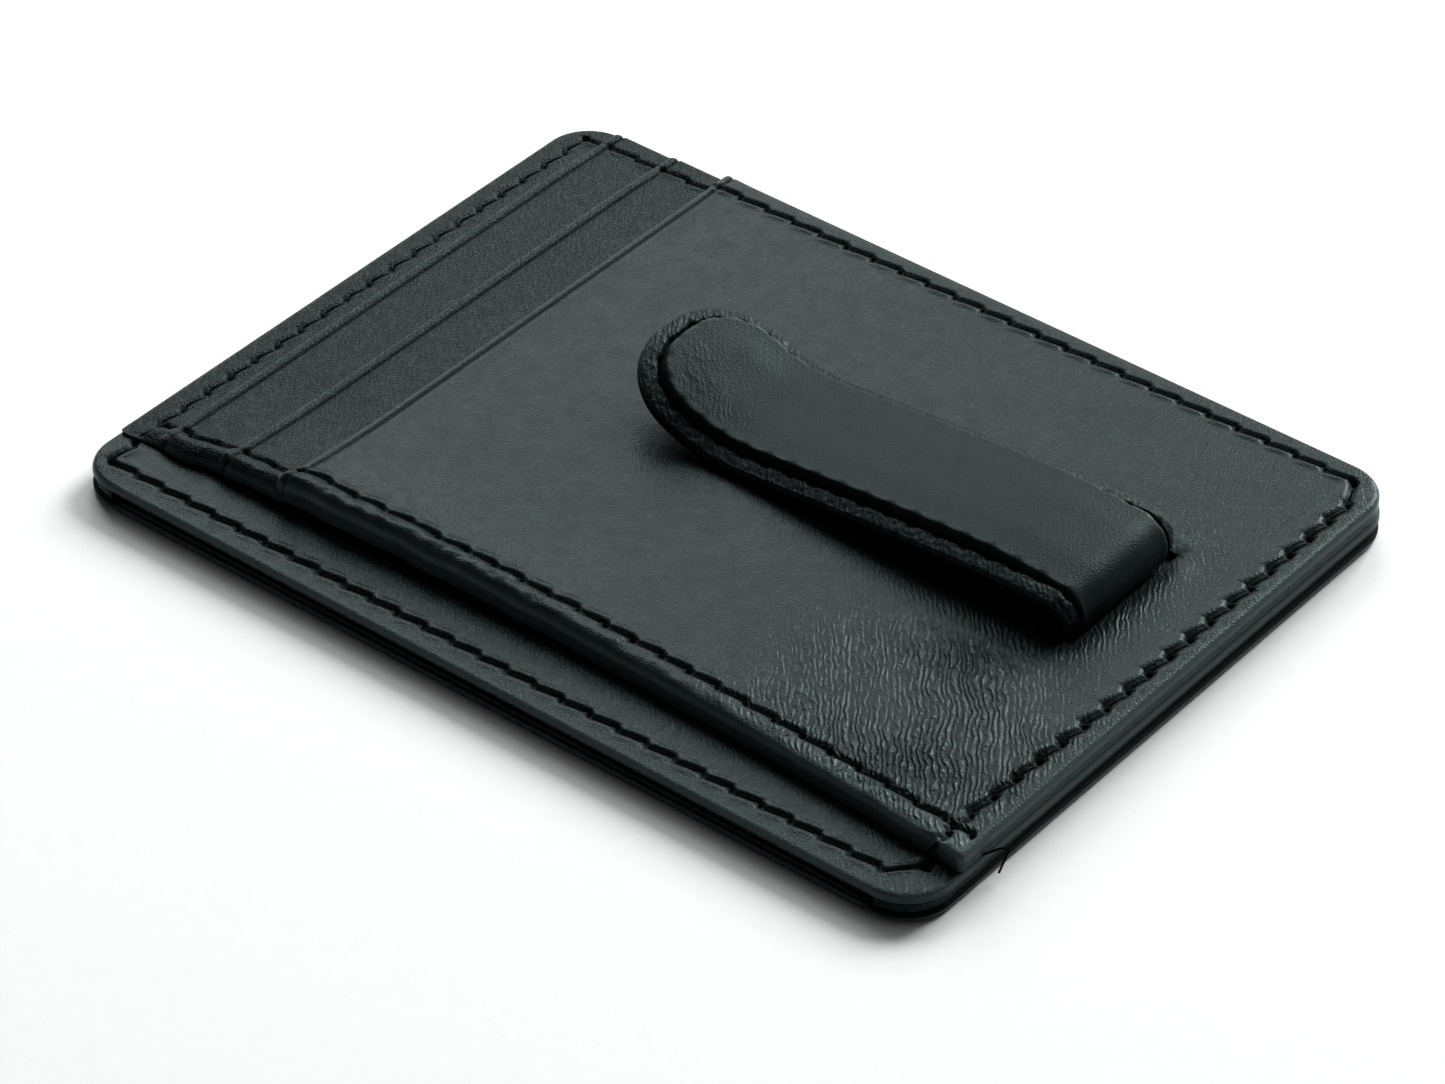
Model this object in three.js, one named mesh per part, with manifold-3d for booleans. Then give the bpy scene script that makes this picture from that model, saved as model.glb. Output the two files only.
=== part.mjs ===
// A leather money-clip card wallet, in millimetres, +Z up.
//
// The wallet lies on its back with the clip on top. The origin is the centre of its footprint
// on the surface. +X runs along the long side, towards the clip's bend, and -Y is the long side
// where the pockets open.
//
// From the bottom up it is built in layers. Two halves, each a leather cover whose edge is
// turned over a cloth lining, are sewn together on three sides and leave the centre pocket
// between them. On the upper half lie a backing sheet, two card strips and the clip panel, which
// is turned over a stiffening board. The board has a window for the leg of the spring.
//
// The clip is one band of spring steel: a flat leg, a U-bend and an arm that dips to the panel
// and flares at its tip. The steel is dressed in two leathers, sewn to each other outside its
// edges, with a thin pad under the upper one. The band is parted at the outermost point of the
// bend, where its arm turns.

import * as THREE from 'three';
import { mergeVertices } from 'three/addons/utils/BufferGeometryUtils.js';
import Module from 'manifold-3d';

const wasm = await Module();
wasm.setup();

// Overall sizes
const walletLength = 100;
const walletWidth = 76;
const cornerRadius = 5;

// Leathers and cloth
const coverLeather = 0.8;
const liningCloth = 0.3;
const turnedLeather = 0.4;
const turnedWidth = 5;
const foldWall = 1;
const edgeRound = 0.5;
const pocketLeather = 0.3;
const panelLeather = 0.5;
const panelRound = 0.2;

// Pockets on the upper half
const hemSetback = 6.5;
const hemBow = 2;
const stackInset = 0.2;
const firstPocketInset = 4.7;
const pocketPitch = 7.2;

// Stiffening board inside the clip panel
const boardThickness = 0.5;
const panelTurnedWidth = 2.5;
const panelSeamWidth = 5;

// Spring band and its leathers
const steelThickness = 0.5;
const steelWidth = 13.6;
const bendRadius = 2.1;
const bendInset = 10.2;
const legLength = 39;
const clipOffset = 7.3;
const clipReach = 54.1;
const dipReach = 39.2;
const tipRise = 4.8;
const tipAngle = 24;
const tipRadius = 8;
const clipLeather = 0.6;
const clipLining = 0.5;
const padThickness = 0.4;
const padTaper = 8;
const clipSeam = 2.2;
const footNarrowing = 0.7;
const crownDome = 0.15;

// Clearances
const clearance = 0.3;
const hingeGap = 0.3;
const skiveGap = 0.05;
const overrun = 2;

// Heights of the layers, from the surface up
const halfThickness = coverLeather + liningCloth + turnedLeather;
const baseTop = 2 * halfThickness;
const lowerPocketBase = baseTop + pocketLeather;
const upperPocketBase = lowerPocketBase + pocketLeather;
const panelBase = upperPocketBase + pocketLeather;
const panelTop = panelBase + boardThickness + panelLeather;

// Places of the clip
const steelHalf = steelThickness / 2;
const crownHeight = steelHalf + padThickness + clipLeather;
const bellyDepth = steelHalf + clipLining;
const bendOuter = bendRadius + steelHalf + clipLeather;
const bendX = walletLength / 2 - bendInset - bendOuter;
const legZ = panelBase + steelHalf;
const bendZ = legZ + bendRadius;
const topRunZ = bendZ + bendRadius;
const dipX = walletLength / 2 - bendInset - dipReach;
const dipZ = panelTop + clearance + bellyDepth;
const tipX = walletLength / 2 - bendInset - clipReach;
const tipZ = dipZ + tipRise;
const flangeHalf = steelWidth / 2 + clipSeam;

const leatherBlack = new THREE.MeshStandardMaterial({ color: 0x33383a, roughness: 0.5, metalness: 0 });
const leatherInside = new THREE.MeshStandardMaterial({ color: 0x2a2e30, roughness: 0.65, metalness: 0 });
const clothBlack = new THREE.MeshStandardMaterial({ color: 0x1c1e20, roughness: 0.9, metalness: 0 });
const boardGrey = new THREE.MeshStandardMaterial({ color: 0x6e6a62, roughness: 0.85, metalness: 0 });
const foamGrey = new THREE.MeshStandardMaterial({ color: 0x4a4c4e, roughness: 0.95, metalness: 0 });
const springSteel = new THREE.MeshStandardMaterial({ color: 0xb4b8bb, roughness: 0.35, metalness: 1 });

// Turns a closed geometry into a solid that can be cut and joined.
function toSolid(geometry) {
  const bare = geometry.clone();
  bare.deleteAttribute('normal');
  bare.deleteAttribute('uv');
  const merged = mergeVertices(bare);
  return new wasm.Manifold(new wasm.Mesh({
    numProp: 3,
    vertProperties: new Float32Array(merged.attributes.position.array),
    triVerts: new Uint32Array(merged.index.array),
  }));
}

// Gives a solid back as a geometry.
function toGeometry(solid) {
  const mesh = solid.getMesh();
  const geometry = new THREE.BufferGeometry();
  geometry.setAttribute('position', new THREE.BufferAttribute(new Float32Array(mesh.vertProperties), 3));
  geometry.setIndex(new THREE.BufferAttribute(new Uint32Array(mesh.triVerts), 1));
  geometry.computeVertexNormals();
  return geometry;
}

// Cuts each of the tools out of a geometry.
function cut(geometry, tools) {
  let solid = toSolid(geometry);
  for (const tool of tools) {
    solid = solid.subtract(toSolid(tool));
  }
  return toGeometry(solid);
}

// Keeps only what two geometries share.
function common(geometry, other) {
  return toGeometry(toSolid(geometry).intersect(toSolid(other)));
}

// The wallet's outline, a rounded rectangle, drawn in by an inset on every side.
function walletShape(inset) {
  const x = walletLength / 2 - inset;
  const y = walletWidth / 2 - inset;
  const r = Math.max(cornerRadius - inset, edgeRound);
  const shape = new THREE.Shape();
  shape.moveTo(-x + r, -y);
  shape.lineTo(x - r, -y);
  shape.absarc(x - r, -y + r, r, -Math.PI / 2, 0, false);
  shape.lineTo(x, y - r);
  shape.absarc(x - r, y - r, r, 0, Math.PI / 2, false);
  shape.lineTo(-x + r, y);
  shape.absarc(-x + r, y - r, r, Math.PI / 2, Math.PI, false);
  shape.lineTo(-x, -y + r);
  shape.absarc(-x + r, -y + r, r, Math.PI, 1.5 * Math.PI, false);
  return shape;
}

// The outline of what lies inside the fold: inset on the three sewn sides, open past the front.
function insideFoldShape(inset, front) {
  const x = walletLength / 2 - inset;
  const y = walletWidth / 2 - inset;
  const r = Math.max(cornerRadius - inset, edgeRound);
  const shape = new THREE.Shape();
  shape.moveTo(-x, front);
  shape.lineTo(x, front);
  shape.lineTo(x, y - r);
  shape.absarc(x - r, y - r, r, 0, Math.PI / 2, false);
  shape.lineTo(-x + r, y);
  shape.absarc(-x + r, y - r, r, Math.PI / 2, Math.PI, false);
  shape.closePath();
  return shape;
}

function rectangleShape(left, right, front, back) {
  const shape = new THREE.Shape();
  shape.moveTo(left, front);
  shape.lineTo(right, front);
  shape.lineTo(right, back);
  shape.lineTo(left, back);
  shape.closePath();
  return shape;
}

// A flat sheet from z = 0 up, cut square.
function sheet(shape, thickness) {
  return new THREE.ExtrudeGeometry(shape, { depth: thickness, bevelEnabled: false, curveSegments: 8 });
}

// A flat sheet from z = 0 up whose upper and lower edges are rounded over.
function roundedSheet(shape, thickness, round) {
  const geometry = new THREE.ExtrudeGeometry(shape, {
    depth: thickness - 2 * round,
    bevelThickness: round,
    bevelSize: round,
    bevelOffset: -round,
    bevelSegments: 3,
    curveSegments: 8,
  });
  geometry.translate(0, 0, round);
  return geometry;
}

// A cutting block of the given outline between two heights.
function block(shape, low, high) {
  const geometry = sheet(shape, high - low);
  geometry.translate(0, 0, low);
  return geometry;
}

// One half of the wallet: a leather cover turned over its lining on the three sewn sides.
// The front edge isn't turned, so the lining shows there as a second ply.
function halfCover() {
  const front = -walletWidth / 2 - overrun;
  const slab = roundedSheet(walletShape(0), halfThickness, edgeRound);
  const liningSlot = block(insideFoldShape(foldWall, front), coverLeather, coverLeather + liningCloth);
  const pocket = block(insideFoldShape(turnedWidth, front), coverLeather, halfThickness + overrun);
  return cut(slab, [liningSlot, pocket]);
}

function halfLining() {
  const shape = insideFoldShape(foldWall + clearance, -walletWidth / 2 - overrun);
  const trim = block(walletShape(edgeRound / 2), -overrun, liningCloth + overrun);
  return common(sheet(shape, liningCloth), trim);
}

// The front edge of the stacked pockets bows back between its two sewn ends.
function hemY(x) {
  const share = x / (walletLength / 2);
  return -walletWidth / 2 + hemSetback + hemBow * (1 - share * share);
}

function hemSlope(x) {
  return -2 * hemBow * x / ((walletLength / 2) * (walletLength / 2));
}

// A region behind the bowed hem, set back from it, between two places along X.
function behindHemShape(left, right, back, setback) {
  const shape = new THREE.Shape();
  const half = (right - left) / 2;
  shape.moveTo(left, hemY(left) + setback);
  const controlY = hemY(left) + setback + hemSlope(left) * half;
  shape.quadraticCurveTo(left + half, controlY, right, hemY(right) + setback);
  shape.lineTo(right, back);
  shape.lineTo(left, back);
  shape.closePath();
  return shape;
}

// One leather of the pocket stack: it runs from its free left edge to the sewn right side.
function pocketSheet(left) {
  const reach = walletLength / 2 + overrun;
  const shape = behindHemShape(left, reach, walletWidth / 2 + overrun, 0);
  const trim = block(walletShape(stackInset), -overrun, pocketLeather + overrun);
  return common(sheet(shape, pocketLeather), trim);
}

const firstPocketX = -walletLength / 2 + firstPocketInset;
const secondPocketX = firstPocketX + pocketPitch;
const clipPanelX = secondPocketX + pocketPitch;

// The slit where the band comes up through the clip panel.
const slitInnerX = bendX - clearance;
const slitOuterX = bendX + Math.sqrt(bendOuter * bendOuter - (bendZ - panelTop) * (bendZ - panelTop)) + clearance;
const slitHalf = flangeHalf - footNarrowing + clearance;
const slitShape = rectangleShape(slitInnerX, slitOuterX, clipOffset - slitHalf, clipOffset + slitHalf);

const boardLeft = clipPanelX + panelTurnedWidth;
const boardRight = walletLength / 2 - panelSeamWidth;
const boardBack = walletWidth / 2 - panelSeamWidth;

// The board, with a window for the spring's leg that widens at the slit.
function clipBoard() {
  const shape = behindHemShape(boardLeft + clearance, boardRight - clearance, boardBack - clearance,
    panelSeamWidth + clearance);
  const legHalf = steelWidth / 2 - footNarrowing + clearance;
  const legShape = rectangleShape(bendX - legLength - clearance, bendX, clipOffset - legHalf, clipOffset + legHalf);
  return cut(sheet(shape, boardThickness), [
    block(legShape, -overrun, boardThickness + overrun),
    block(slitShape, -overrun, boardThickness + overrun),
  ]);
}

// The clip panel: leather turned down over the board on all four sides, with the slit.
function clipPanel() {
  const thickness = boardThickness + panelLeather;
  const reach = walletLength / 2 + overrun;
  const shape = behindHemShape(clipPanelX, reach, walletWidth / 2 + overrun, 0);
  const trim = block(walletShape(stackInset), -overrun, thickness + overrun);
  const body = common(roundedSheet(shape, thickness, panelRound), trim);
  const recess = block(behindHemShape(boardLeft, boardRight, boardBack, panelSeamWidth), -overrun, boardThickness);
  return cut(body, [recess, block(slitShape, -overrun, thickness + overrun)]);
}

// How far the handles of the band's two curves reach, as shares of the run and of the flare.
const runHandleShares = { start: 0.38, end: 0.1 };
const flareHandleShares = { start: 0.3, end: 0.45 };

// The band's centre line, seen from the side as x and z: the leg, the lower and the upper half
// of the bend, the run down to the dip, the flare and the straight tip.
function bandStations() {
  const gapAngle = hingeGap / 2 / bendRadius;
  const stations = [];
  let travelled = 0;
  const add = (point, tangent, part) => {
    const last = stations[stations.length - 1];
    travelled += last ? Math.hypot(point.x - last.x, point.y - last.z) : 0;
    stations.push({ x: point.x, z: point.y, nx: tangent.y, nz: -tangent.x, s: travelled, part });
  };
  const addCurve = (curve, divisions, part) => {
    for (let i = 1; i <= divisions; i += 1) {
      add(curve.getPoint(i / divisions), curve.getTangent(i / divisions), part);
    }
  };
  const addBend = (from, to, divisions, part) => {
    for (let i = 0; i <= divisions; i += 1) {
      const angle = from + (to - from) * i / divisions;
      const along = new THREE.Vector2(Math.cos(angle), Math.sin(angle));
      const point = new THREE.Vector2(bendX + bendRadius * along.x, bendZ + bendRadius * along.y);
      add(point, new THREE.Vector2(-along.y, along.x), part);
    }
  };
  const tipTurn = Math.PI - THREE.MathUtils.degToRad(tipAngle);
  const tipSlope = new THREE.Vector2(Math.cos(tipTurn), Math.sin(tipTurn));
  const tip = new THREE.Vector2(tipX, tipZ);
  const tipStart = tip.clone().addScaledVector(tipSlope, -tipRadius);
  const flareReach = dipX - tipStart.x;
  const runReach = bendX - dipX;
  add(new THREE.Vector2(bendX - legLength, legZ), new THREE.Vector2(1, 0), 'foot');
  addBend(-Math.PI / 2, -gapAngle, 8, 'foot');
  addBend(gapAngle, Math.PI / 2, 8, 'arm');
  addCurve(new THREE.CubicBezierCurve(
    new THREE.Vector2(bendX, topRunZ),
    new THREE.Vector2(bendX - runReach * runHandleShares.start, topRunZ),
    new THREE.Vector2(dipX + runReach * runHandleShares.end, dipZ),
    new THREE.Vector2(dipX, dipZ),
  ), 14, 'arm');
  addCurve(new THREE.CubicBezierCurve(
    new THREE.Vector2(dipX, dipZ),
    new THREE.Vector2(dipX - flareReach * flareHandleShares.start, dipZ),
    tipStart.clone().addScaledVector(tipSlope, -flareReach * flareHandleShares.end),
    tipStart,
  ), 7, 'arm');
  return stations;
}

const stations = bandStations();
const footStations = stations.filter((station) => station.part === 'foot');
const armStations = stations.filter((station) => station.part === 'arm');

// A point on the band: along it, across it and out along its normal.
function bandPoint(station, y, offset) {
  return new THREE.Vector3(station.x + station.nx * offset, y, station.z + station.nz * offset);
}

// A station on the straight tip, past the last one of the curve.
function tipStation(past) {
  const last = armStations[armStations.length - 1];
  return { ...last, x: last.x - last.nz * past, z: last.z + last.nx * past, s: last.s + past };
}

// Half the band's width: it narrows round the bend to the foot.
function bandHalf(station) {
  const bendStart = footStations[0].s + legLength;
  const bendEnd = bendStart + Math.PI * bendRadius;
  const share = THREE.MathUtils.clamp((bendEnd - station.s) / (bendEnd - bendStart), 0, 1);
  return flangeHalf - footNarrowing * share;
}

// The near side of the band at an inset from its edge, from the root to the tip. An arm's line
// ends in the quarter circle of the tip's corner.
function nearLine(run, inset, tipped) {
  const line = run.map((station) => ({ station, y: -(bandHalf(station) - inset) }));
  if (tipped) {
    const steps = 6;
    const radius = tipRadius - inset;
    for (let i = 1; i <= steps; i += 1) {
      const angle = Math.PI / 2 * i / steps;
      const y = -(flangeHalf - tipRadius) - radius * Math.cos(angle);
      line.push({ station: tipStation(radius * Math.sin(angle)), y });
    }
  }
  return line;
}

// A closed solid of the band. Each ring follows the band's edge at an inset and has an upper and
// a lower offset from the steel's middle. The innermost ring is bridged straight across.
function bandSolid(run, rings, tipped) {
  const positions = [];
  const point = (place, mirrored, offset) => {
    const p = bandPoint(place.station, mirrored ? -place.y : place.y, offset);
    positions.push(p.x, p.y, p.z);
    return positions.length / 3 - 1;
  };
  const value = (size, station) => (typeof size === 'function' ? size(station) : size);
  const grid = rings.map((ring) => {
    const line = nearLine(run, ring.inset, tipped);
    return ['top', 'bottom'].map((face) => [false, true].map((mirrored) => (
      line.map((place) => point(place, mirrored, value(ring[face], place.station)))
    )));
  });
  const triangles = [];
  const quad = (a, b, c, d, flip) => {
    const corners = flip ? [d, c, b, a] : [a, b, c, d];
    triangles.push(corners[0], corners[1], corners[2], corners[0], corners[2], corners[3]);
  };
  const count = grid[0][0][0].length;
  const inner = rings.length - 1;
  for (let face = 0; face < 2; face += 1) {
    const under = face === 1;
    for (let i = 0; i + 1 < count; i += 1) {
      for (let k = 0; k < inner; k += 1) {
        const near = [grid[k][face][0], grid[k + 1][face][0]];
        const far = [grid[k][face][1], grid[k + 1][face][1]];
        quad(near[0][i], near[1][i], near[1][i + 1], near[0][i + 1], under);
        quad(far[0][i], far[0][i + 1], far[1][i + 1], far[1][i], under);
      }
      const [near, far] = grid[inner][face];
      quad(near[i], far[i], far[i + 1], near[i + 1], under);
    }
    if (tipped) {
      for (let k = 0; k < inner; k += 1) {
        const last = count - 1;
        quad(grid[k][face][0][last], grid[k + 1][face][0][last], grid[k + 1][face][1][last],
          grid[k][face][1][last], under);
      }
    }
  }
  const [top, bottom] = grid[0];
  for (let i = 0; i + 1 < count; i += 1) {
    quad(top[0][i], top[0][i + 1], bottom[0][i + 1], bottom[0][i], false);
    quad(top[1][i], bottom[1][i], bottom[1][i + 1], top[1][i + 1], false);
  }
  if (tipped) {
    quad(top[0][count - 1], top[1][count - 1], bottom[1][count - 1], bottom[0][count - 1], false);
  }
  const ends = tipped ? [0] : [0, count - 1];
  for (const end of ends) {
    const flip = end !== 0;
    for (let k = 0; k < inner; k += 1) {
      const [upper, lower] = [grid[k], grid[k + 1]];
      quad(upper[0][0][end], upper[1][0][end], lower[1][0][end], lower[0][0][end], flip);
      quad(upper[0][1][end], lower[0][1][end], lower[1][1][end], upper[1][1][end], flip);
    }
    const [innerTop, innerBottom] = grid[inner];
    quad(innerTop[0][end], innerBottom[0][end], innerBottom[1][end], innerTop[1][end], flip);
  }
  const geometry = new THREE.BufferGeometry();
  geometry.setAttribute('position', new THREE.Float32BufferAttribute(positions, 3));
  geometry.setIndex(triangles);
  geometry.computeVertexNormals();
  return geometry;
}

// The pad's thinnest edge, as a share of its thickness.
const padEdgeShare = 0.25;

// The pad's thickness: full on the arm, tapering to a thin skived edge at the bend.
function padAt(station) {
  const bendTop = armStations.find((arm) => arm.z >= topRunZ).s;
  const share = THREE.MathUtils.clamp((station.s - bendTop) / padTaper, padEdgeShare, 1);
  return station.s < bendTop ? 0 : padThickness * share;
}

// Where the sewn flange, its seam groove and the crown lie, as shares of the seam allowance.
const flangeShares = { lip: 0.15, flat: 0.42, groove: 0.56, foot: 0.74, wall: 0.9, crown: 1.3, dome: 2.7 };

// How thick the flange is at its cut lip and in its groove, and how high the crown's shoulder
// stands, as shares of the full height there.
const lipShare = 0.6;
const grooveShare = 0.7;
const shoulderShare = 0.85;

// The upper leather's rings, from the flange's edge in to the dome over the pad.
function coverRings(padOf) {
  const over = (station) => steelHalf + padOf(station);
  const crown = (station) => over(station) + clipLeather;
  const inset = (share) => clipSeam * share;
  return [
    { inset: 0, top: clipLeather * lipShare, bottom: 0 },
    { inset: inset(flangeShares.lip), top: clipLeather, bottom: 0 },
    { inset: inset(flangeShares.flat), top: clipLeather, bottom: 0 },
    { inset: inset(flangeShares.groove), top: clipLeather * grooveShare, bottom: 0 },
    { inset: inset(flangeShares.foot), top: clipLeather * grooveShare, bottom: 0 },
    { inset: inset(flangeShares.wall), top: (station) => crown(station) * shoulderShare, bottom: over },
    { inset: inset(flangeShares.crown), top: crown, bottom: over },
    { inset: inset(flangeShares.dome), top: (station) => crown(station) + crownDome, bottom: over },
  ];
}

// The lower leather's rings: it meets the upper one outside the steel and passes under it inside.
function liningRings() {
  const inset = (share) => clipSeam * share;
  return [
    { inset: 0, top: 0, bottom: -clipLining * lipShare },
    { inset: inset(flangeShares.lip), top: 0, bottom: -clipLining },
    { inset: inset(flangeShares.foot), top: 0, bottom: -clipLining },
    { inset: inset(flangeShares.wall), top: -steelHalf, bottom: -steelHalf - clipLining },
  ];
}

const steelRing = { inset: clipSeam, top: steelHalf, bottom: -steelHalf };

function springFoot() {
  return bandSolid(footStations, [steelRing], false);
}

function springArm() {
  return bandSolid(armStations, [steelRing], true);
}

function clipPad() {
  const run = armStations.filter((station) => padAt(station) > 0);
  const ring = { inset: clipSeam, top: (station) => steelHalf + padAt(station), bottom: steelHalf };
  return bandSolid(run, [ring], true);
}

// The stations of the foot that stand clear of the pocket leather below, on the face at this offset.
function footRun(offset, floor) {
  return footStations.filter((station) => station.z + station.nz * offset > floor);
}

function clipCoverFoot() {
  return bandSolid(footRun(steelHalf + clipLeather, panelBase), coverRings(() => 0), false);
}

function clipLiningFoot() {
  return bandSolid(footRun(-steelHalf, panelBase + boardThickness + skiveGap), liningRings(), false);
}

function clipCoverArm() {
  return bandSolid(armStations, coverRings(padAt), true);
}

function clipLiningArm() {
  return bandSolid(armStations, liningRings(), true);
}

function piece(name, geometry, material) {
  const mesh = new THREE.Mesh(geometry, material);
  mesh.name = name;
  return mesh;
}

// A group at a height that holds pieces.
function layer(height, pieces) {
  const group = new THREE.Group();
  group.position.z = height;
  group.add(...pieces);
  return group;
}

// The lower half, with its lining on the cover.
function lowerHalf() {
  const lining = piece('back_lining', halfLining(), clothBlack);
  lining.position.z = coverLeather;
  return layer(0, [piece('back_cover', halfCover(), leatherBlack), lining]);
}

// The upper half is the same pair of pieces turned over about its long axis, front edge kept.
function upperHalf() {
  const flipped = (geometry, height) => {
    const position = geometry.attributes.position;
    for (let i = 0; i < position.count; i += 1) {
      position.setZ(i, height - position.getZ(i));
    }
    const index = geometry.index.array;
    for (let i = 0; i < index.length; i += 3) {
      [index[i], index[i + 1]] = [index[i + 1], index[i]];
    }
    geometry.computeVertexNormals();
    return geometry;
  };
  const lining = piece('front_lining', flipped(halfLining(), liningCloth), clothBlack);
  lining.position.z = turnedLeather;
  const panel = piece('base_panel', flipped(halfCover(), halfThickness), leatherBlack);
  return layer(halfThickness, [panel, lining]);
}

function pocketStack() {
  return [
    layer(baseTop, [piece('pocket_backing', pocketSheet(-walletLength / 2 - overrun), leatherInside)]),
    layer(lowerPocketBase, [piece('pocket_strip_lower', pocketSheet(firstPocketX), leatherInside)]),
    layer(upperPocketBase, [piece('pocket_strip_upper', pocketSheet(secondPocketX), leatherInside)]),
    layer(panelBase, [
      piece('clip_board', clipBoard(), boardGrey),
      piece('clip_panel', clipPanel(), leatherBlack),
    ]),
  ];
}

function clip() {
  const group = new THREE.Group();
  group.position.y = clipOffset;
  group.add(
    piece('spring_foot', springFoot(), springSteel),
    piece('spring_arm', springArm(), springSteel),
    piece('clip_pad', clipPad(), foamGrey),
    piece('clip_cover_foot', clipCoverFoot(), leatherBlack),
    piece('clip_cover_arm', clipCoverArm(), leatherBlack),
    piece('clip_lining_foot', clipLiningFoot(), leatherInside),
    piece('clip_lining_arm', clipLiningArm(), leatherInside),
  );
  return group;
}

const wallet = new THREE.Group();
wallet.add(lowerHalf(), upperHalf(), ...pocketStack(), clip());

export default wallet;
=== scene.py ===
"""Looks of a leather money-clip card wallet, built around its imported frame.

The wallet lies on its back with the clip on top. Lengths are in metres, in the frame of the
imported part: +X runs towards the clip's bend, -Y is the long side where the pockets open.
"""

import logging
import math
from bisect import bisect_left
from collections.abc import Callable, Iterator, Sequence
from contextlib import contextmanager
from dataclasses import dataclass, field
from enum import Enum

import bpy
import numpy as np
from mathutils import Matrix, Vector, noise


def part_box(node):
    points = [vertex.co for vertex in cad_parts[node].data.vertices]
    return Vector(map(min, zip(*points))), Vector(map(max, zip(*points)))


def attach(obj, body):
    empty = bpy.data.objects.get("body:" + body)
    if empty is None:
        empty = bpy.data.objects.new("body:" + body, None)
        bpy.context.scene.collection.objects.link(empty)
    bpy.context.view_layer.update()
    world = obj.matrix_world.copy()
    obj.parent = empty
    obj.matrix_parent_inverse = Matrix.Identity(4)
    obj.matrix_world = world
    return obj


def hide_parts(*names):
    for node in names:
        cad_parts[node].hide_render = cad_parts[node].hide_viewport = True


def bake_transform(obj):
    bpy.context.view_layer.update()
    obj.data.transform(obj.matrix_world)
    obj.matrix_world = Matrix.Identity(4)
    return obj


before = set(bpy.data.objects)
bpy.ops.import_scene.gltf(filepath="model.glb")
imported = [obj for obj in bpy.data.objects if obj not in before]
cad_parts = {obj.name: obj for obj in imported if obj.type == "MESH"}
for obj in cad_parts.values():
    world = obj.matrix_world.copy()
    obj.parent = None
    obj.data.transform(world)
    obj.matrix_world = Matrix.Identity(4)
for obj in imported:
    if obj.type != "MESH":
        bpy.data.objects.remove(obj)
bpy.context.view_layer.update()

log = logging.getLogger("wallet")

MM = 0.001
# Two grid lines this far apart draw a sharp step.
STEP = 0.02 * MM
# The spread over which a rim is a little crumpled.
RIM_SPREAD = 3 * MM
# Ripples start at the first depth in from an edge and are full at the second.
CALM, RIPPLED = 0.1 * MM, 0.9 * MM
Array = np.ndarray


class Body(Enum):
    """The bodies that pieces ride on."""

    WALLET = "wallet"
    ARM = "clip_arm"


class Slot(Enum):
    """The record's material slots."""

    COVER = "cover_leather"
    POCKET = "pocket_leather"
    LINING = "lining_cloth"
    BOARD = "stiffener_board"
    FOAM = "foam"
    STEEL = "spring_steel"


class Along(Enum):
    """The way a run of stitches goes."""

    X = 0
    Y = 1


def srgb(code: str) -> tuple[float, float, float, float]:
    """Turns an sRGB hex colour into linear RGBA.

    Args:
        code: Six hex digits with a leading hash.

    Returns:
        Red, green, blue and alpha, from 0 to 1.
    """
    levels = [int(code[i : i + 2], 16) / 255 for i in (1, 3, 5)]
    linear = [v / 12.92 if v <= 0.04045 else ((v + 0.055) / 1.055) ** 2.4 for v in levels]
    return (linear[0], linear[1], linear[2], 1.0)


def add_node(tree: bpy.types.NodeTree, kind: str, inputs: dict | None = None, **settings) -> bpy.types.Node:
    """Adds a node with its settings, values and links.

    Args:
        tree: The material's node tree.
        kind: The node's type name.
        inputs: Values or output sockets by input name or number.
        settings: Attributes of the node.

    Returns:
        The new node.
    """
    node = tree.nodes.new(kind)
    for key, value in settings.items():
        setattr(node, key, value)
    for key, value in (inputs or {}).items():
        if isinstance(value, bpy.types.NodeSocket):
            tree.links.new(value, node.inputs[key])
        else:
            node.inputs[key].default_value = value
    return node


def new_material(name: str) -> tuple[bpy.types.Material, bpy.types.NodeTree, bpy.types.Node]:
    """Makes a material that holds only a Principled shader and its output.

    Args:
        name: The material's name.

    Returns:
        The material, its node tree and the shader node.
    """
    material = bpy.data.materials.new(name)
    material.use_nodes = True
    tree = material.node_tree
    tree.nodes.clear()
    shader = add_node(tree, "ShaderNodeBsdfPrincipled")
    add_node(tree, "ShaderNodeOutputMaterial", {"Surface": shader.outputs["BSDF"]})
    return material, tree, shader


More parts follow.
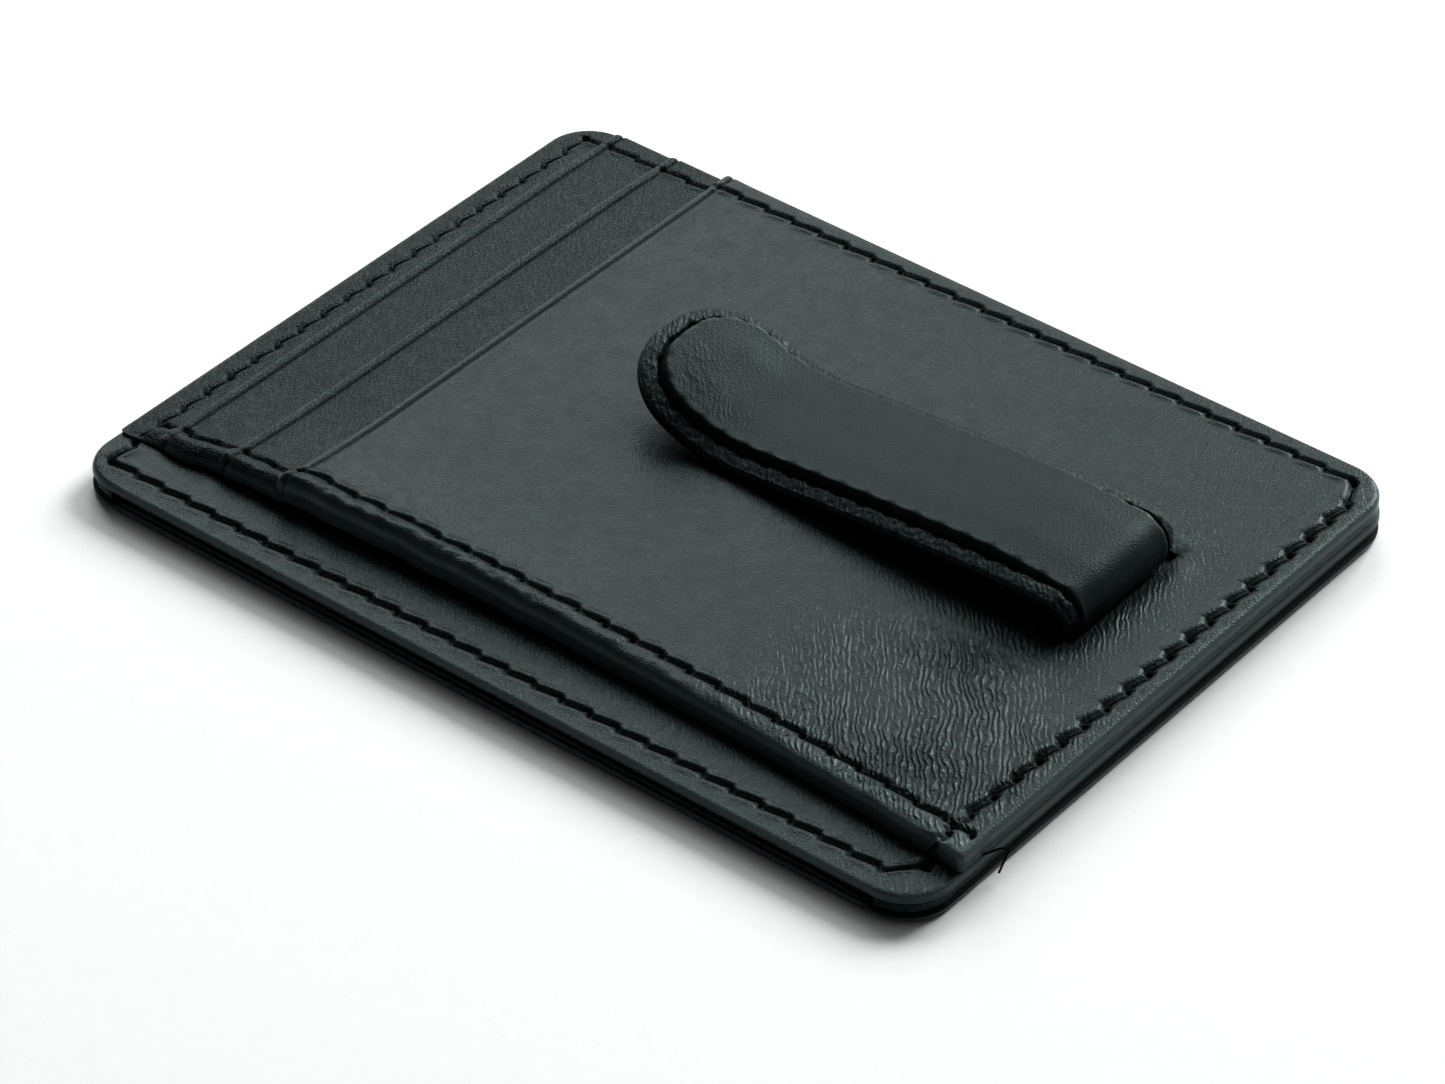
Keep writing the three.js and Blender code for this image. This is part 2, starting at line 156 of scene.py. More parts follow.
@dataclass(frozen=True)
class LeatherFinish:
    """Drum-dyed nappa: fine pores all over, and ripples that crowd where the leather was gathered."""

    name: str
    colour: str
    valley: str
    worn: str
    gloss: float = 0.36
    dull: float = 0.56
    pore_mm: float = 0.38
    ripple_mm: float = 0.56
    ripple_angle_deg: float = 126
    ripple_height_mm: float = 0.18
    pore_height_mm: float = 0.014
    wander: float = 1.9
    broken: float = 0.8
    ripple_length: float = 1.7
    ripple_floor: float = 0.35
    ior: float = 1.2

    def make(self) -> bpy.types.Material:
        """Builds the material.

        Returns:
            A material that reads the float attributes crinkle, worn and pit: pit paints shade into hollows,
            and worn lightens rims and crests as wear together with a painted highlight.
        """
        material, tree, shader = new_material(self.name)
        place = add_node(tree, "ShaderNodeTexCoord").outputs["Object"]
        mm = add_node(tree, "ShaderNodeMapping", {"Vector": place, "Scale": (1000, 1000, 1000)}).outputs[0]
        ripple = self._ripples(tree, mm)
        pore = self._pores(tree, mm)
        patches = add_node(
            tree, "ShaderNodeTexNoise", {"Vector": mm, "Scale": 0.12, "Detail": 2}
        ).outputs[0]
        crowd = add_node(
            tree, "ShaderNodeMapRange", {"Value": patches, "From Min": 0.35, "From Max": 0.65, "To Min": 0.45}
        ).outputs[0]
        crinkle = add_node(tree, "ShaderNodeAttribute", attribute_name="crinkle").outputs["Fac"]
        gathered = add_node(tree, "ShaderNodeMath", {0: crinkle, 1: crowd}, operation="MULTIPLY").outputs[0]
        raised = add_node(tree, "ShaderNodeMath", {0: ripple, 1: gathered}, operation="MULTIPLY").outputs[0]
        ripple_mm = add_node(
            tree, "ShaderNodeMath", {0: raised, 1: self.ripple_height_mm}, operation="MULTIPLY"
        ).outputs[0]
        height = add_node(
            tree, "ShaderNodeMath", {0: pore, 1: self.pore_height_mm, 2: ripple_mm}, operation="MULTIPLY_ADD"
        ).outputs[0]
        # One unit of height is a millimetre, so the bump's distance is one millimetre.
        bump = add_node(tree, "ShaderNodeBump", {"Height": height, "Strength": 1.0, "Distance": MM})
        tree.links.new(bump.outputs[0], shader.inputs["Normal"])
        # The ripples' valleys are painted darker as shade where the leather is gathered, with random mottling
        # on top.
        low = add_node(tree, "ShaderNodeMath", {0: 1.0, 1: ripple}, operation="SUBTRACT").outputs[0]
        shade = add_node(tree, "ShaderNodeMath", {0: low, 1: gathered}, operation="MULTIPLY").outputs[0]
        mottle = add_node(tree, "ShaderNodeTexNoise", {"Vector": mm, "Scale": 0.7, "Detail": 6}).outputs[0]
        mottled = add_node(
            tree, "ShaderNodeMapRange", {"Value": mottle, "From Min": 0.3, "From Max": 0.7, "To Max": 0.3}
        ).outputs[0]
        dark = add_node(
            tree, "ShaderNodeMath", {0: shade, 1: mottled}, operation="ADD", use_clamp=True
        ).outputs[0]
        body = add_node(
            tree, "ShaderNodeMix", {0: dark, 6: srgb(self.colour), 7: srgb(self.valley)}, data_type="RGBA"
        ).outputs[2]
        crest_highlight = add_node(tree, "ShaderNodeMath", {0: raised, 1: raised}, operation="MULTIPLY").outputs[0]
        wear_and_highlight_attr = add_node(tree, "ShaderNodeAttribute", attribute_name="worn").outputs["Fac"]
        # Handling polishes the rims and the tops of the ripples, and both are also painted lighter in colour
        # as a highlight.
        worn = add_node(
            tree, "ShaderNodeMath", {0: crest_highlight, 1: 0.4, 2: wear_and_highlight_attr},
            operation="MULTIPLY_ADD", use_clamp=True,
        ).outputs[0]
        edge = add_node(
            tree, "ShaderNodeMix", {0: worn, 6: body, 7: srgb(self.worn)}, data_type="RGBA"
        ).outputs[2]
        # Painted shade: hollows, seams and creases are mixed towards near-black.
        pit = add_node(tree, "ShaderNodeAttribute", attribute_name="pit").outputs["Fac"]
        sunk = add_node(
            tree, "ShaderNodeMix", {0: pit, 6: edge, 7: srgb("#020303")}, data_type="RGBA"
        ).outputs[2]
        tree.links.new(sunk, shader.inputs["Base Color"])
        rough = add_node(
            tree, "ShaderNodeMapRange", {"Value": dark, "To Min": self.gloss, "To Max": self.dull}
        ).outputs[0]
        rubbed = add_node(
            tree, "ShaderNodeMath", {0: worn, 1: -0.14, 2: rough}, operation="MULTIPLY_ADD"
        ).outputs[0]
        crest = add_node(
            tree, "ShaderNodeMath", {0: raised, 1: -0.1, 2: rubbed}, operation="MULTIPLY_ADD"
        ).outputs[0]
        # The hollows that the pit mask paints dark are rougher as well.
        pit_roughness = add_node(
            tree, "ShaderNodeMath", {0: pit, 1: 0.5, 2: crest}, operation="MULTIPLY_ADD"
        ).outputs[0]
        tree.links.new(pit_roughness, shader.inputs["Roughness"])
        shader.inputs["IOR"].default_value = self.ior
        shader.inputs["Specular Tint"].default_value = (0.6, 1.0, 0.98, 1.0)
        return material

    def _ripples(self, tree: bpy.types.NodeTree, mm: bpy.types.NodeSocket) -> bpy.types.NodeSocket:
        """Draws long soft ripples that wander, fork and die out.

        Args:
            tree: The material's node tree.
            mm: Object coordinates in millimetres.

        Returns:
            A value from 0 in the valleys to 1 on the crests.
        """
        turned = add_node(
            tree, "ShaderNodeVectorRotate", {"Vector": mm, "Angle": math.radians(-self.ripple_angle_deg)}
        ).outputs[0]
        across = add_node(tree, "ShaderNodeSeparateXYZ", {0: turned}).outputs[1]
        drift = add_node(
            tree, "ShaderNodeTexNoise", {"Vector": mm, "Scale": 0.16, "Detail": 1.5}
        ).outputs[0]
        long_cells = (1 / (3 * self.ripple_mm), 1 / (1.7 * self.ripple_mm), 1 / self.ripple_mm)
        stretched = add_node(tree, "ShaderNodeMapping", {"Vector": turned, "Scale": long_cells}).outputs[0]
        fork = add_node(
            tree, "ShaderNodeTexNoise", {"Vector": stretched, "Scale": 1.0, "Detail": 1}
        ).outputs[0]
        turns = add_node(
            tree, "ShaderNodeMath", {0: across, 1: 1 / self.ripple_mm}, operation="MULTIPLY"
        ).outputs[0]
        turns = add_node(
            tree, "ShaderNodeMath", {0: drift, 1: 2 * self.wander, 2: turns}, operation="MULTIPLY_ADD"
        ).outputs[0]
        turns = add_node(
            tree, "ShaderNodeMath", {0: fork, 1: 2 * self.broken, 2: turns}, operation="MULTIPLY_ADD"
        ).outputs[0]
        phase = add_node(
            tree, "ShaderNodeMath", {0: turns, 1: 2 * math.pi}, operation="MULTIPLY"
        ).outputs[0]
        wave = add_node(tree, "ShaderNodeMath", {0: phase}, operation="SINE").outputs[0]
        crest = add_node(tree, "ShaderNodeMapRange", {"Value": wave, "From Min": -1.0}).outputs[0]
        size = self.ripple_mm
        short_cells = (1 / (self.ripple_length * size), 1 / (1.3 * size), 1 / size)
        moved = add_node(
            tree, "ShaderNodeMapping", {"Vector": turned, "Scale": short_cells, "Location": (7, 3, 0)}
        ).outputs[0]
        patchy = add_node(
            tree, "ShaderNodeTexNoise", {"Vector": moved, "Scale": 1.0, "Detail": 1.5}
        ).outputs[0]
        strength = add_node(
            tree, "ShaderNodeMapRange",
            {"Value": patchy, "From Min": 0.38, "From Max": 0.56, "To Min": self.ripple_floor},
        ).outputs[0]
        return add_node(tree, "ShaderNodeMath", {0: crest, 1: strength}, operation="MULTIPLY").outputs[0]

    def _pores(self, tree: bpy.types.NodeTree, mm: bpy.types.NodeSocket) -> bpy.types.NodeSocket:
        """Draws the hair-cell grain.

        Args:
            tree: The material's node tree.
            mm: Object coordinates in millimetres.

        Returns:
            A value from 0 between the cells to 1 on them.
        """
        cells = add_node(
            tree,
            "ShaderNodeTexVoronoi",
            {"Vector": mm, "Scale": 1 / self.pore_mm},
            feature="DISTANCE_TO_EDGE",
        ).outputs["Distance"]
        return add_node(
            tree, "ShaderNodeMapRange", {"Value": cells, "From Max": 0.3}, interpolation_type="SMOOTHSTEP"
        ).outputs[0]


@dataclass(frozen=True)
class PlainFinish:
    """A finish with even colour broken by fine noise, for cloth, foam, board, thread and steel."""

    name: str
    colour: str
    shade: str
    roughness: float
    metallic: float = 0.0
    grain_mm: float = 0.4
    stretch: tuple[float, float, float] = (1.0, 1.0, 1.0)
    height_mm: float = 0.02
    sheen: float = 0.0
    ior: float = 1.5

    def make(self) -> bpy.types.Material:
        """Builds the material.

        Returns:
            A material on Object coordinates.
        """
        material, tree, shader = new_material(self.name)
        place = add_node(tree, "ShaderNodeTexCoord").outputs["Object"]
        scale = [1000 / self.grain_mm * s for s in self.stretch]
        grain_place = add_node(tree, "ShaderNodeMapping", {"Vector": place, "Scale": scale}).outputs[0]
        grain = add_node(
            tree, "ShaderNodeTexNoise", {"Vector": grain_place, "Scale": 1.0, "Detail": 4}
        ).outputs[0]
        part = add_node(
            tree, "ShaderNodeMapRange", {"Value": grain, "From Min": 0.35, "From Max": 0.65}
        ).outputs[0]
        colour = add_node(
            tree, "ShaderNodeMix", {0: part, 6: srgb(self.shade), 7: srgb(self.colour)}, data_type="RGBA"
        ).outputs[2]
        tree.links.new(colour, shader.inputs["Base Color"])
        height = add_node(
            tree, "ShaderNodeMath", {0: grain, 1: self.height_mm}, operation="MULTIPLY"
        ).outputs[0]
        bump = add_node(tree, "ShaderNodeBump", {"Height": height, "Distance": MM})
        tree.links.new(bump.outputs[0], shader.inputs["Normal"])
        shader.inputs["Roughness"].default_value = self.roughness
        shader.inputs["Metallic"].default_value = self.metallic
        shader.inputs["Sheen Weight"].default_value = self.sheen
        shader.inputs["IOR"].default_value = self.ior
        return material


@dataclass(frozen=True)
class WeaveFinish:
    """Plain-woven pocket cloth: two sets of threads that pass over and under each other."""

    name: str
    colour: str
    shade: str
    thread_mm: float = 0.35
    height_mm: float = 0.05

    def make(self) -> bpy.types.Material:
        """Builds the material.

        Returns:
            A material on Object coordinates.
        """
        material, tree, shader = new_material(self.name)
        place = add_node(tree, "ShaderNodeTexCoord").outputs["Object"]
        turns = 1000 * math.pi / self.thread_mm
        scaled = add_node(
            tree, "ShaderNodeMapping", {"Vector": place, "Scale": (turns, turns, turns)}
        ).outputs[0]
        axes = add_node(tree, "ShaderNodeSeparateXYZ", {0: scaled})
        warp = add_node(tree, "ShaderNodeMath", {0: axes.outputs[0]}, operation="SINE").outputs[0]
        weft = add_node(tree, "ShaderNodeMath", {0: axes.outputs[1]}, operation="SINE").outputs[0]
        over = add_node(tree, "ShaderNodeMath", {0: warp, 1: weft}, operation="MULTIPLY").outputs[0]
        level = add_node(tree, "ShaderNodeMapRange", {"Value": over, "From Min": -1.0}).outputs[0]
        colour = add_node(
            tree, "ShaderNodeMix", {0: level, 6: srgb(self.shade), 7: srgb(self.colour)}, data_type="RGBA"
        ).outputs[2]
        tree.links.new(colour, shader.inputs["Base Color"])
        height = add_node(
            tree, "ShaderNodeMath", {0: level, 1: self.height_mm}, operation="MULTIPLY"
        ).outputs[0]
        bump = add_node(tree, "ShaderNodeBump", {"Height": height, "Distance": MM})
        tree.links.new(bump.outputs[0], shader.inputs["Normal"])
        shader.inputs["Roughness"].default_value = 0.85
        shader.inputs["Sheen Weight"].default_value = 0.2
        return material


@dataclass
class Finishes:
    """Every finish of the wallet, made once."""

    cover: bpy.types.Material = field(init=False)
    clip: bpy.types.Material = field(init=False)
    pocket: bpy.types.Material = field(init=False)
    edge: bpy.types.Material = field(init=False)
    thread: bpy.types.Material = field(init=False)
    hole: bpy.types.Material = field(init=False)
    lining: bpy.types.Material = field(init=False)
    board: bpy.types.Material = field(init=False)
    foam: bpy.types.Material = field(init=False)
    steel: bpy.types.Material = field(init=False)
    floor: bpy.types.Material = field(init=False)

    def __post_init__(self) -> None:
        """Makes the materials."""
        # Charcoal nappa of the covers: soft satin, its folds catch the light. Its second colour paints shade
        # into the ripples' valleys, and its third is lighter for rim wear and painted highlight.
        self.cover = LeatherFinish("nappa_charcoal", "#131818", "#050707", "#485353", gloss=0.28).make()
        # The clip's leather is stretched over its pad, so its folds are nearly gone. Its second colour is the
        # painted shade of the valleys, and its third the lighter colour of wear and painted highlight.
        self.clip = LeatherFinish(
            "nappa_stretched", "#131818", "#0a0e0e", "#2e3737", gloss=0.46, ripple_height_mm=0.06, ior=1.19
        ).make()
        # Skived pocket leather: thinner and duller. Its second colour is the painted shade of the valleys,
        # and its third the lighter colour of wear and painted highlight.
        self.pocket = LeatherFinish(
            "nappa_skived", "#111616", "#030505", "#3a4444", gloss=0.38, dull=0.6,
            ripple_height_mm=0.07, pore_height_mm=0.032,
        ).make()
        # Cut edges are dyed black and burnished, so they shine a little.
        self.edge = PlainFinish("edge_dye_black", "#0d0f10", "#060708", 0.42, grain_mm=0.3, ior=1.22).make()
        # Bonded polyester thread, twisted, with a faint waxed sheen.
        self.thread = PlainFinish(
            "waxed_thread_black", "#040505", "#010202", 0.85, grain_mm=0.15, ior=1.08
        ).make()
        # A near-black, matt finish inside a needle hole paints the shade there.
        self.hole = PlainFinish("needle_hole_fibre", "#030404", "#010202", 1.0, grain_mm=0.2, ior=1.03).make()
        self.lining = WeaveFinish("pocket_cloth_black", "#15181a", "#08090a").make()
        # Leather-fibre board: black-brown, matt, flecked.
        self.board = PlainFinish("fibre_board", "#12110f", "#0a0908", 0.9, grain_mm=0.5).make()
        self.foam = PlainFinish("closed_cell_foam", "#4a4c4e", "#343638", 0.95, grain_mm=0.3).make()
        # Cold-rolled spring strip: fine lines along the band.
        self.steel = PlainFinish(
            "rolled_spring_steel", "#b9bdc0", "#9a9ea2", 0.32, 1.0, grain_mm=0.3,
            stretch=(0.05, 1.0, 1.0), height_mm=0.004,
        ).make()
        self.floor = PlainFinish("matt_paper", "#fbfbfa", "#f9f9f8", 0.9, grain_mm=2.0, height_mm=0.0).make()


def smooth(value: Array, low: float, high: float) -> Array:
    """Eases from 0 below low to 1 above high."""
    share = np.clip((value - low) / (high - low), 0, 1)
    return share * share * (3 - 2 * share)


def round_over(depth: Array, radius: float) -> Array:
    """How far a rounded edge has dropped.

    Args:
        depth: Distance in from the edge.
        radius: The round's radius.

    Returns:
        The drop, which is the radius at the edge and nothing past the round.
    """
    short = np.clip(radius - depth, 0, radius)
    return radius - np.sqrt(np.maximum(radius * radius - short * short, 0))


def pitted(depth: Array) -> Array:
    """How much painted shade a hollow of some depth holds, from 0 to 1."""
    shallow, full = 0.1 * MM, 0.38 * MM
    return smooth(depth, shallow, full)


def pierce(
    piece: bpy.types.Object, leather: bpy.types.Material, hole: bpy.types.Material, depth: Array
) -> None:
    """Gives the faces at the bottom of the needle holes their near-black finish, which paints the shade
    there.

    Args:
        piece: The leather.
        leather: Its own finish.
        hole: The finish that paints the shade inside a hole.
        depth: How deep in a hole each vertex lies, from 0 to 1.
    """
    bottom = 0.62
    piece.data.materials.append(leather)
    piece.data.materials.append(hole)
    for face in piece.data.polygons:
        inside = sum(depth[i] for i in face.vertices) / len(face.vertices)
        face.material_index = int(inside > bottom)


def bell(value: Array, spread: float, middle: float = 0.0, power: int = 2) -> Array:
    """A smooth bump that is 1 at its middle and has died out past its spread.

    Args:
        value: Where to read it.
        spread: How wide it is.
        middle: Where its top lies.
        power: How flat its top is.

    Returns:
        Values from 0 to 1.
    """
    return np.exp(-(((value - middle) / spread) ** power))


def ruffle(x: Array, y: Array, size: float, seed: float) -> Array:
    """Slow noise over the plane.

    Args:
        x: Places along X.
        y: Places along Y.
        size: The size of one swell.
        seed: Picks the pattern.

    Returns:
        Values from about -1 to 1.
    """
    return np.array([noise.noise(Vector((a / size, b / size, seed))) for a, b in zip(x, y)])


def crowded_lines(
    low: float, high: float, step: float, exact: Sequence[float] = (), rims: Sequence[float] = ()
) -> Array:
    """Places grid lines: even in the open, crowded at rims.

    Args:
        low: The first line.
        high: The last line.
        step: The open spacing.
        exact: Places that must have a line.
        rims: Places with rounded edges, where the lines crowd.

    Returns:
        The lines, in order.
    """
    kept: list[float] = []
    least_gap, first, growth, count = 0.01 * MM, 0.05 * MM, 1.35, 8

    def offer(places: Sequence[float], gap: float) -> None:
        """Keeps each place that is at least a gap from every kept one."""
        for place in places:
            at = bisect_left(kept, place)
            near = [abs(place - kept[i]) for i in (at - 1, at) if 0 <= i < len(kept)]
            if low <= place <= high and (not near or min(near) >= gap):
                kept.insert(at, place)

    offer([low, high, *exact], least_gap)
    reaches = [first * (growth**k - 1) / (growth - 1) for k in range(1, count)]
    for reach in reaches:
        offer([rim + side * reach for rim in rims for side in (-1, 1)], 0.8 * first)
    offer(list(np.linspace(low, high, max(2, round((high - low) / step) + 1))), 0.6 * step)
    return np.array(kept)


def deselect() -> None:
    """Leaves nothing selected or active."""
    bpy.ops.object.select_all(action="DESELECT")
    bpy.context.view_layer.objects.active = None


def choose(piece: bpy.types.Object) -> None:
    """Selects one piece alone and makes it active."""
    deselect()
    piece.select_set(True)
    bpy.context.view_layer.objects.active = piece


@contextmanager
def editing(piece: bpy.types.Object) -> Iterator[None]:
    """Holds a piece in edit mode with all of it selected."""
    choose(piece)
    bpy.ops.object.mode_set(mode="EDIT")
    bpy.ops.mesh.select_all(action="SELECT")
    try:
        yield
    finally:
        bpy.ops.object.mode_set(mode="OBJECT")


def points_of(piece: bpy.types.Object) -> Array:
    """Reads a piece's vertices as rows of x, y and z."""
    flat = np.empty(len(piece.data.vertices) * 3, np.float32)
    piece.data.vertices.foreach_get("co", flat)
    return flat.reshape(-1, 3).astype(float)


def move_points(piece: bpy.types.Object, points: Array) -> None:
    """Writes a piece's vertices."""
    piece.data.vertices.foreach_set("co", points.astype(np.float32).ravel())
    piece.data.update()


def set_attribute(piece: bpy.types.Object, name: str, values: Array) -> None:
    """Stores one number per vertex for the material to read."""
    attribute = piece.data.attributes.new(name, "FLOAT", "POINT")
    attribute.data.foreach_set("value", values.astype(np.float32))


@dataclass
class GridSolid:
    """A closed sheet raised from a grid whose lines crowd where it is shaped."""

    name: str
    lines_x: Array
    lines_y: Array
    hole: Callable[[Array, Array], Array] | None = None
    piece: bpy.types.Object = field(init=False)
    x: Array = field(init=False)
    y: Array = field(init=False)
    is_top: Array = field(init=False)

    def __post_init__(self) -> None:
        """Adds the grid, opens its holes and extrudes it to a closed solid one unit thick."""
        columns, rows = len(self.lines_x) - 1, len(self.lines_y) - 1
        deselect()
        bpy.ops.mesh.primitive_grid_add(x_subdivisions=columns, y_subdivisions=rows, size=2)
        self.piece = bpy.context.active_object
        self.piece.name = self.piece.data.name = self.name
        points = points_of(self.piece)
        column = np.rint((points[:, 0] + 1) / 2 * columns).astype(int)
        row = np.rint((points[:, 1] + 1) / 2 * rows).astype(int)
        points[:, 0], points[:, 1] = self.lines_x[column], self.lines_y[row]
        move_points(self.piece, points)
        if self.hole:
            self._open(self.hole)
        with editing(self.piece):
            bpy.ops.mesh.extrude_region_move(TRANSFORM_OT_translate={"value": (0, 0, -1)})
            bpy.ops.mesh.select_all(action="SELECT")
            bpy.ops.mesh.normals_make_consistent(inside=False)
        self._read()

    def _pick(self, chosen: Callable[[Array, Array, Array], Array]) -> None:
        """Enters edit mode with the faces selected whose middles pass a test."""
        mesh = self.piece.data
        middles = np.empty(len(mesh.polygons) * 3, np.float32)
        mesh.polygons.foreach_get("center", middles)
        middles = middles.reshape(-1, 3)
        choose(self.piece)
        bpy.ops.object.mode_set(mode="EDIT")
        bpy.ops.mesh.select_mode(type="FACE")
        bpy.ops.mesh.select_all(action="DESELECT")
        bpy.ops.object.mode_set(mode="OBJECT")
        mesh.polygons.foreach_set("select", chosen(*middles.T))
        bpy.ops.object.mode_set(mode="EDIT")

    def _leave(self) -> None:
        """Goes back to object mode and reads the vertices' places."""
        bpy.ops.mesh.select_mode(type="VERT")
        bpy.ops.object.mode_set(mode="OBJECT")
        self._read()

    def _read(self) -> None:
        """Reads the vertices' places, and which of them are on the upper side."""
        points = points_of(self.piece)
        self.x, self.y, self.is_top = points[:, 0].copy(), points[:, 1].copy(), points[:, 2] > -0.5

    def _open(self, hole: Callable[[Array, Array], Array]) -> None:
        """Deletes the faces whose middles lie in the hole."""
        self._pick(lambda x, y, z: hole(x, y))
        bpy.ops.mesh.delete(type="FACE")
        self._leave()

    def refine(self, near: Callable[[Array, Array], Array], cuts: int = 2, upper: bool = True) -> None:
        """Splits the faces that a test picks, for shape finer than the grid.

        Args:
            near: Tells which places need it.
            cuts: New lines across each face.
            upper: Whether the upper faces are split, and not the lower ones.
        """
        self._pick(lambda x, y, z: near(x, y) & (z > -0.1 if upper else z < -0.9))
        bpy.ops.mesh.subdivide(number_cuts=cuts, quadcorner="INNERVERT")
        self._leave()

    def shape(
        self, top: Array, bottom: Array, x: Array | None = None, y: Array | None = None
    ) -> bpy.types.Object:
        """Moves the upper and lower vertices to their heights.

        Args:
            top: Height of every vertex if it were on the upper side.
            bottom: Height of every vertex if it were on the lower side.
            x: New places along X, if the sheet is warped.
            y: New places along Y, if the sheet is warped.

        Returns:
            The shaped piece.
        """
        points = points_of(self.piece)
        points[:, 0] = self.x if x is None else x
        points[:, 1] = self.y if y is None else y
        points[:, 2] = np.where(self.is_top, top, bottom)
        move_points(self.piece, points)
        choose(self.piece)
        bpy.ops.object.shade_smooth_by_angle(angle=math.radians(50))
        return self.piece


@dataclass(frozen=True)
class Outline:
    """A sheet's outline: a rectangle with rounded corners, whose front edge may bow back."""

    left: float
    right: float
    front: float
    back: float
    front_left: float = 0.0
    front_right: float = 0.0
    back_right: float = 0.0
    back_left: float = 0.0
    bow: float = 0.0
    half_length: float = 50 * MM
    clip_from: float = 45 * MM
    clip_radius: float = 0.0
    clip_step: float = 0.0
    wave: float = 0.0
    long_wave: float = 1.6 * MM
    short_wave: float = 0.93 * MM

    def corners(self) -> list[tuple[float, float, int, int]]:
        """Lists each rounded corner as its inner point's x and y and the way it faces."""
        spots = [
            (self.left, self.front, -1, -1, self.front_left),
            (self.right, self.front, 1, -1, self.front_right),
            (self.right, self.back, 1, 1, self.back_right),
            (self.left, self.back, -1, 1, self.back_left),
        ]
        return [(x, y, sx, sy, r) for x, y, sx, sy, r in spots if r > 0]

    def front_at(self, x: Array) -> Array:
        """The front edge's place along Y, bowed and clipped by the wallet's round corners."""
        r = self.clip_radius
        past = np.clip(np.abs(x) - self.clip_from, 0, r * 0.98)
        corner = r - np.sqrt(r * r - past * past) + np.where(past > 0, self.clip_step, 0)
        ripple = np.sin(x / self.long_wave) + np.sin(x / self.short_wave)
        swell = self.wave * ripple * (0.4 - x / self.half_length) / 2
        return self.front + self.bow * (1 - (x / self.half_length) ** 2) + corner + swell

    def warp(self, x: Array, y: Array) -> tuple[Array, Array]:
        """Carries points of the plain rectangle into the outline.

        Args:
            x: Places along X.
            y: Places along Y.

        Returns:
            The new places.
        """
        x, y = x.copy(), y.copy()
        for cx, cy, sx, sy, r in self.corners():
            u = ((x - cx) * sx + r) / r
            v = ((y - cy) * sy + r) / r
            inside = (u > 0) & (v > 0)
            x[inside] = cx + sx * r * (u * np.sqrt(np.maximum(1 - v * v / 2, 0)) - 1)[inside]
            y[inside] = cy + sy * r * (v * np.sqrt(np.maximum(1 - u * u / 2, 0)) - 1)[inside]
        share = (self.back - y) / (self.back - self.front)
        return x, y + share * (self.front_at(x) - self.front)

    def depth(self, x: Array, y: Array, with_front: bool = True) -> Array:
        """How far a point lies inside the edge.

        Args:
            x: Places along X.
            y: Places along Y.
            with_front: Whether the front edge counts between its corners.

        Returns:
            The distance to the nearest edge.
        """
        best = np.minimum(np.minimum(x - self.left, self.right - x), self.back - y)
        if with_front:
            best = np.minimum(best, y - self.front_at(x))
        for cx, cy, sx, sy, r in self.corners():
            u = (x - cx) * sx + r
            v = (y - cy) * sy + r
            inside = (u > 0) & (v > 0)
            best = np.where(inside, r - np.hypot(u, v), best)
        return best


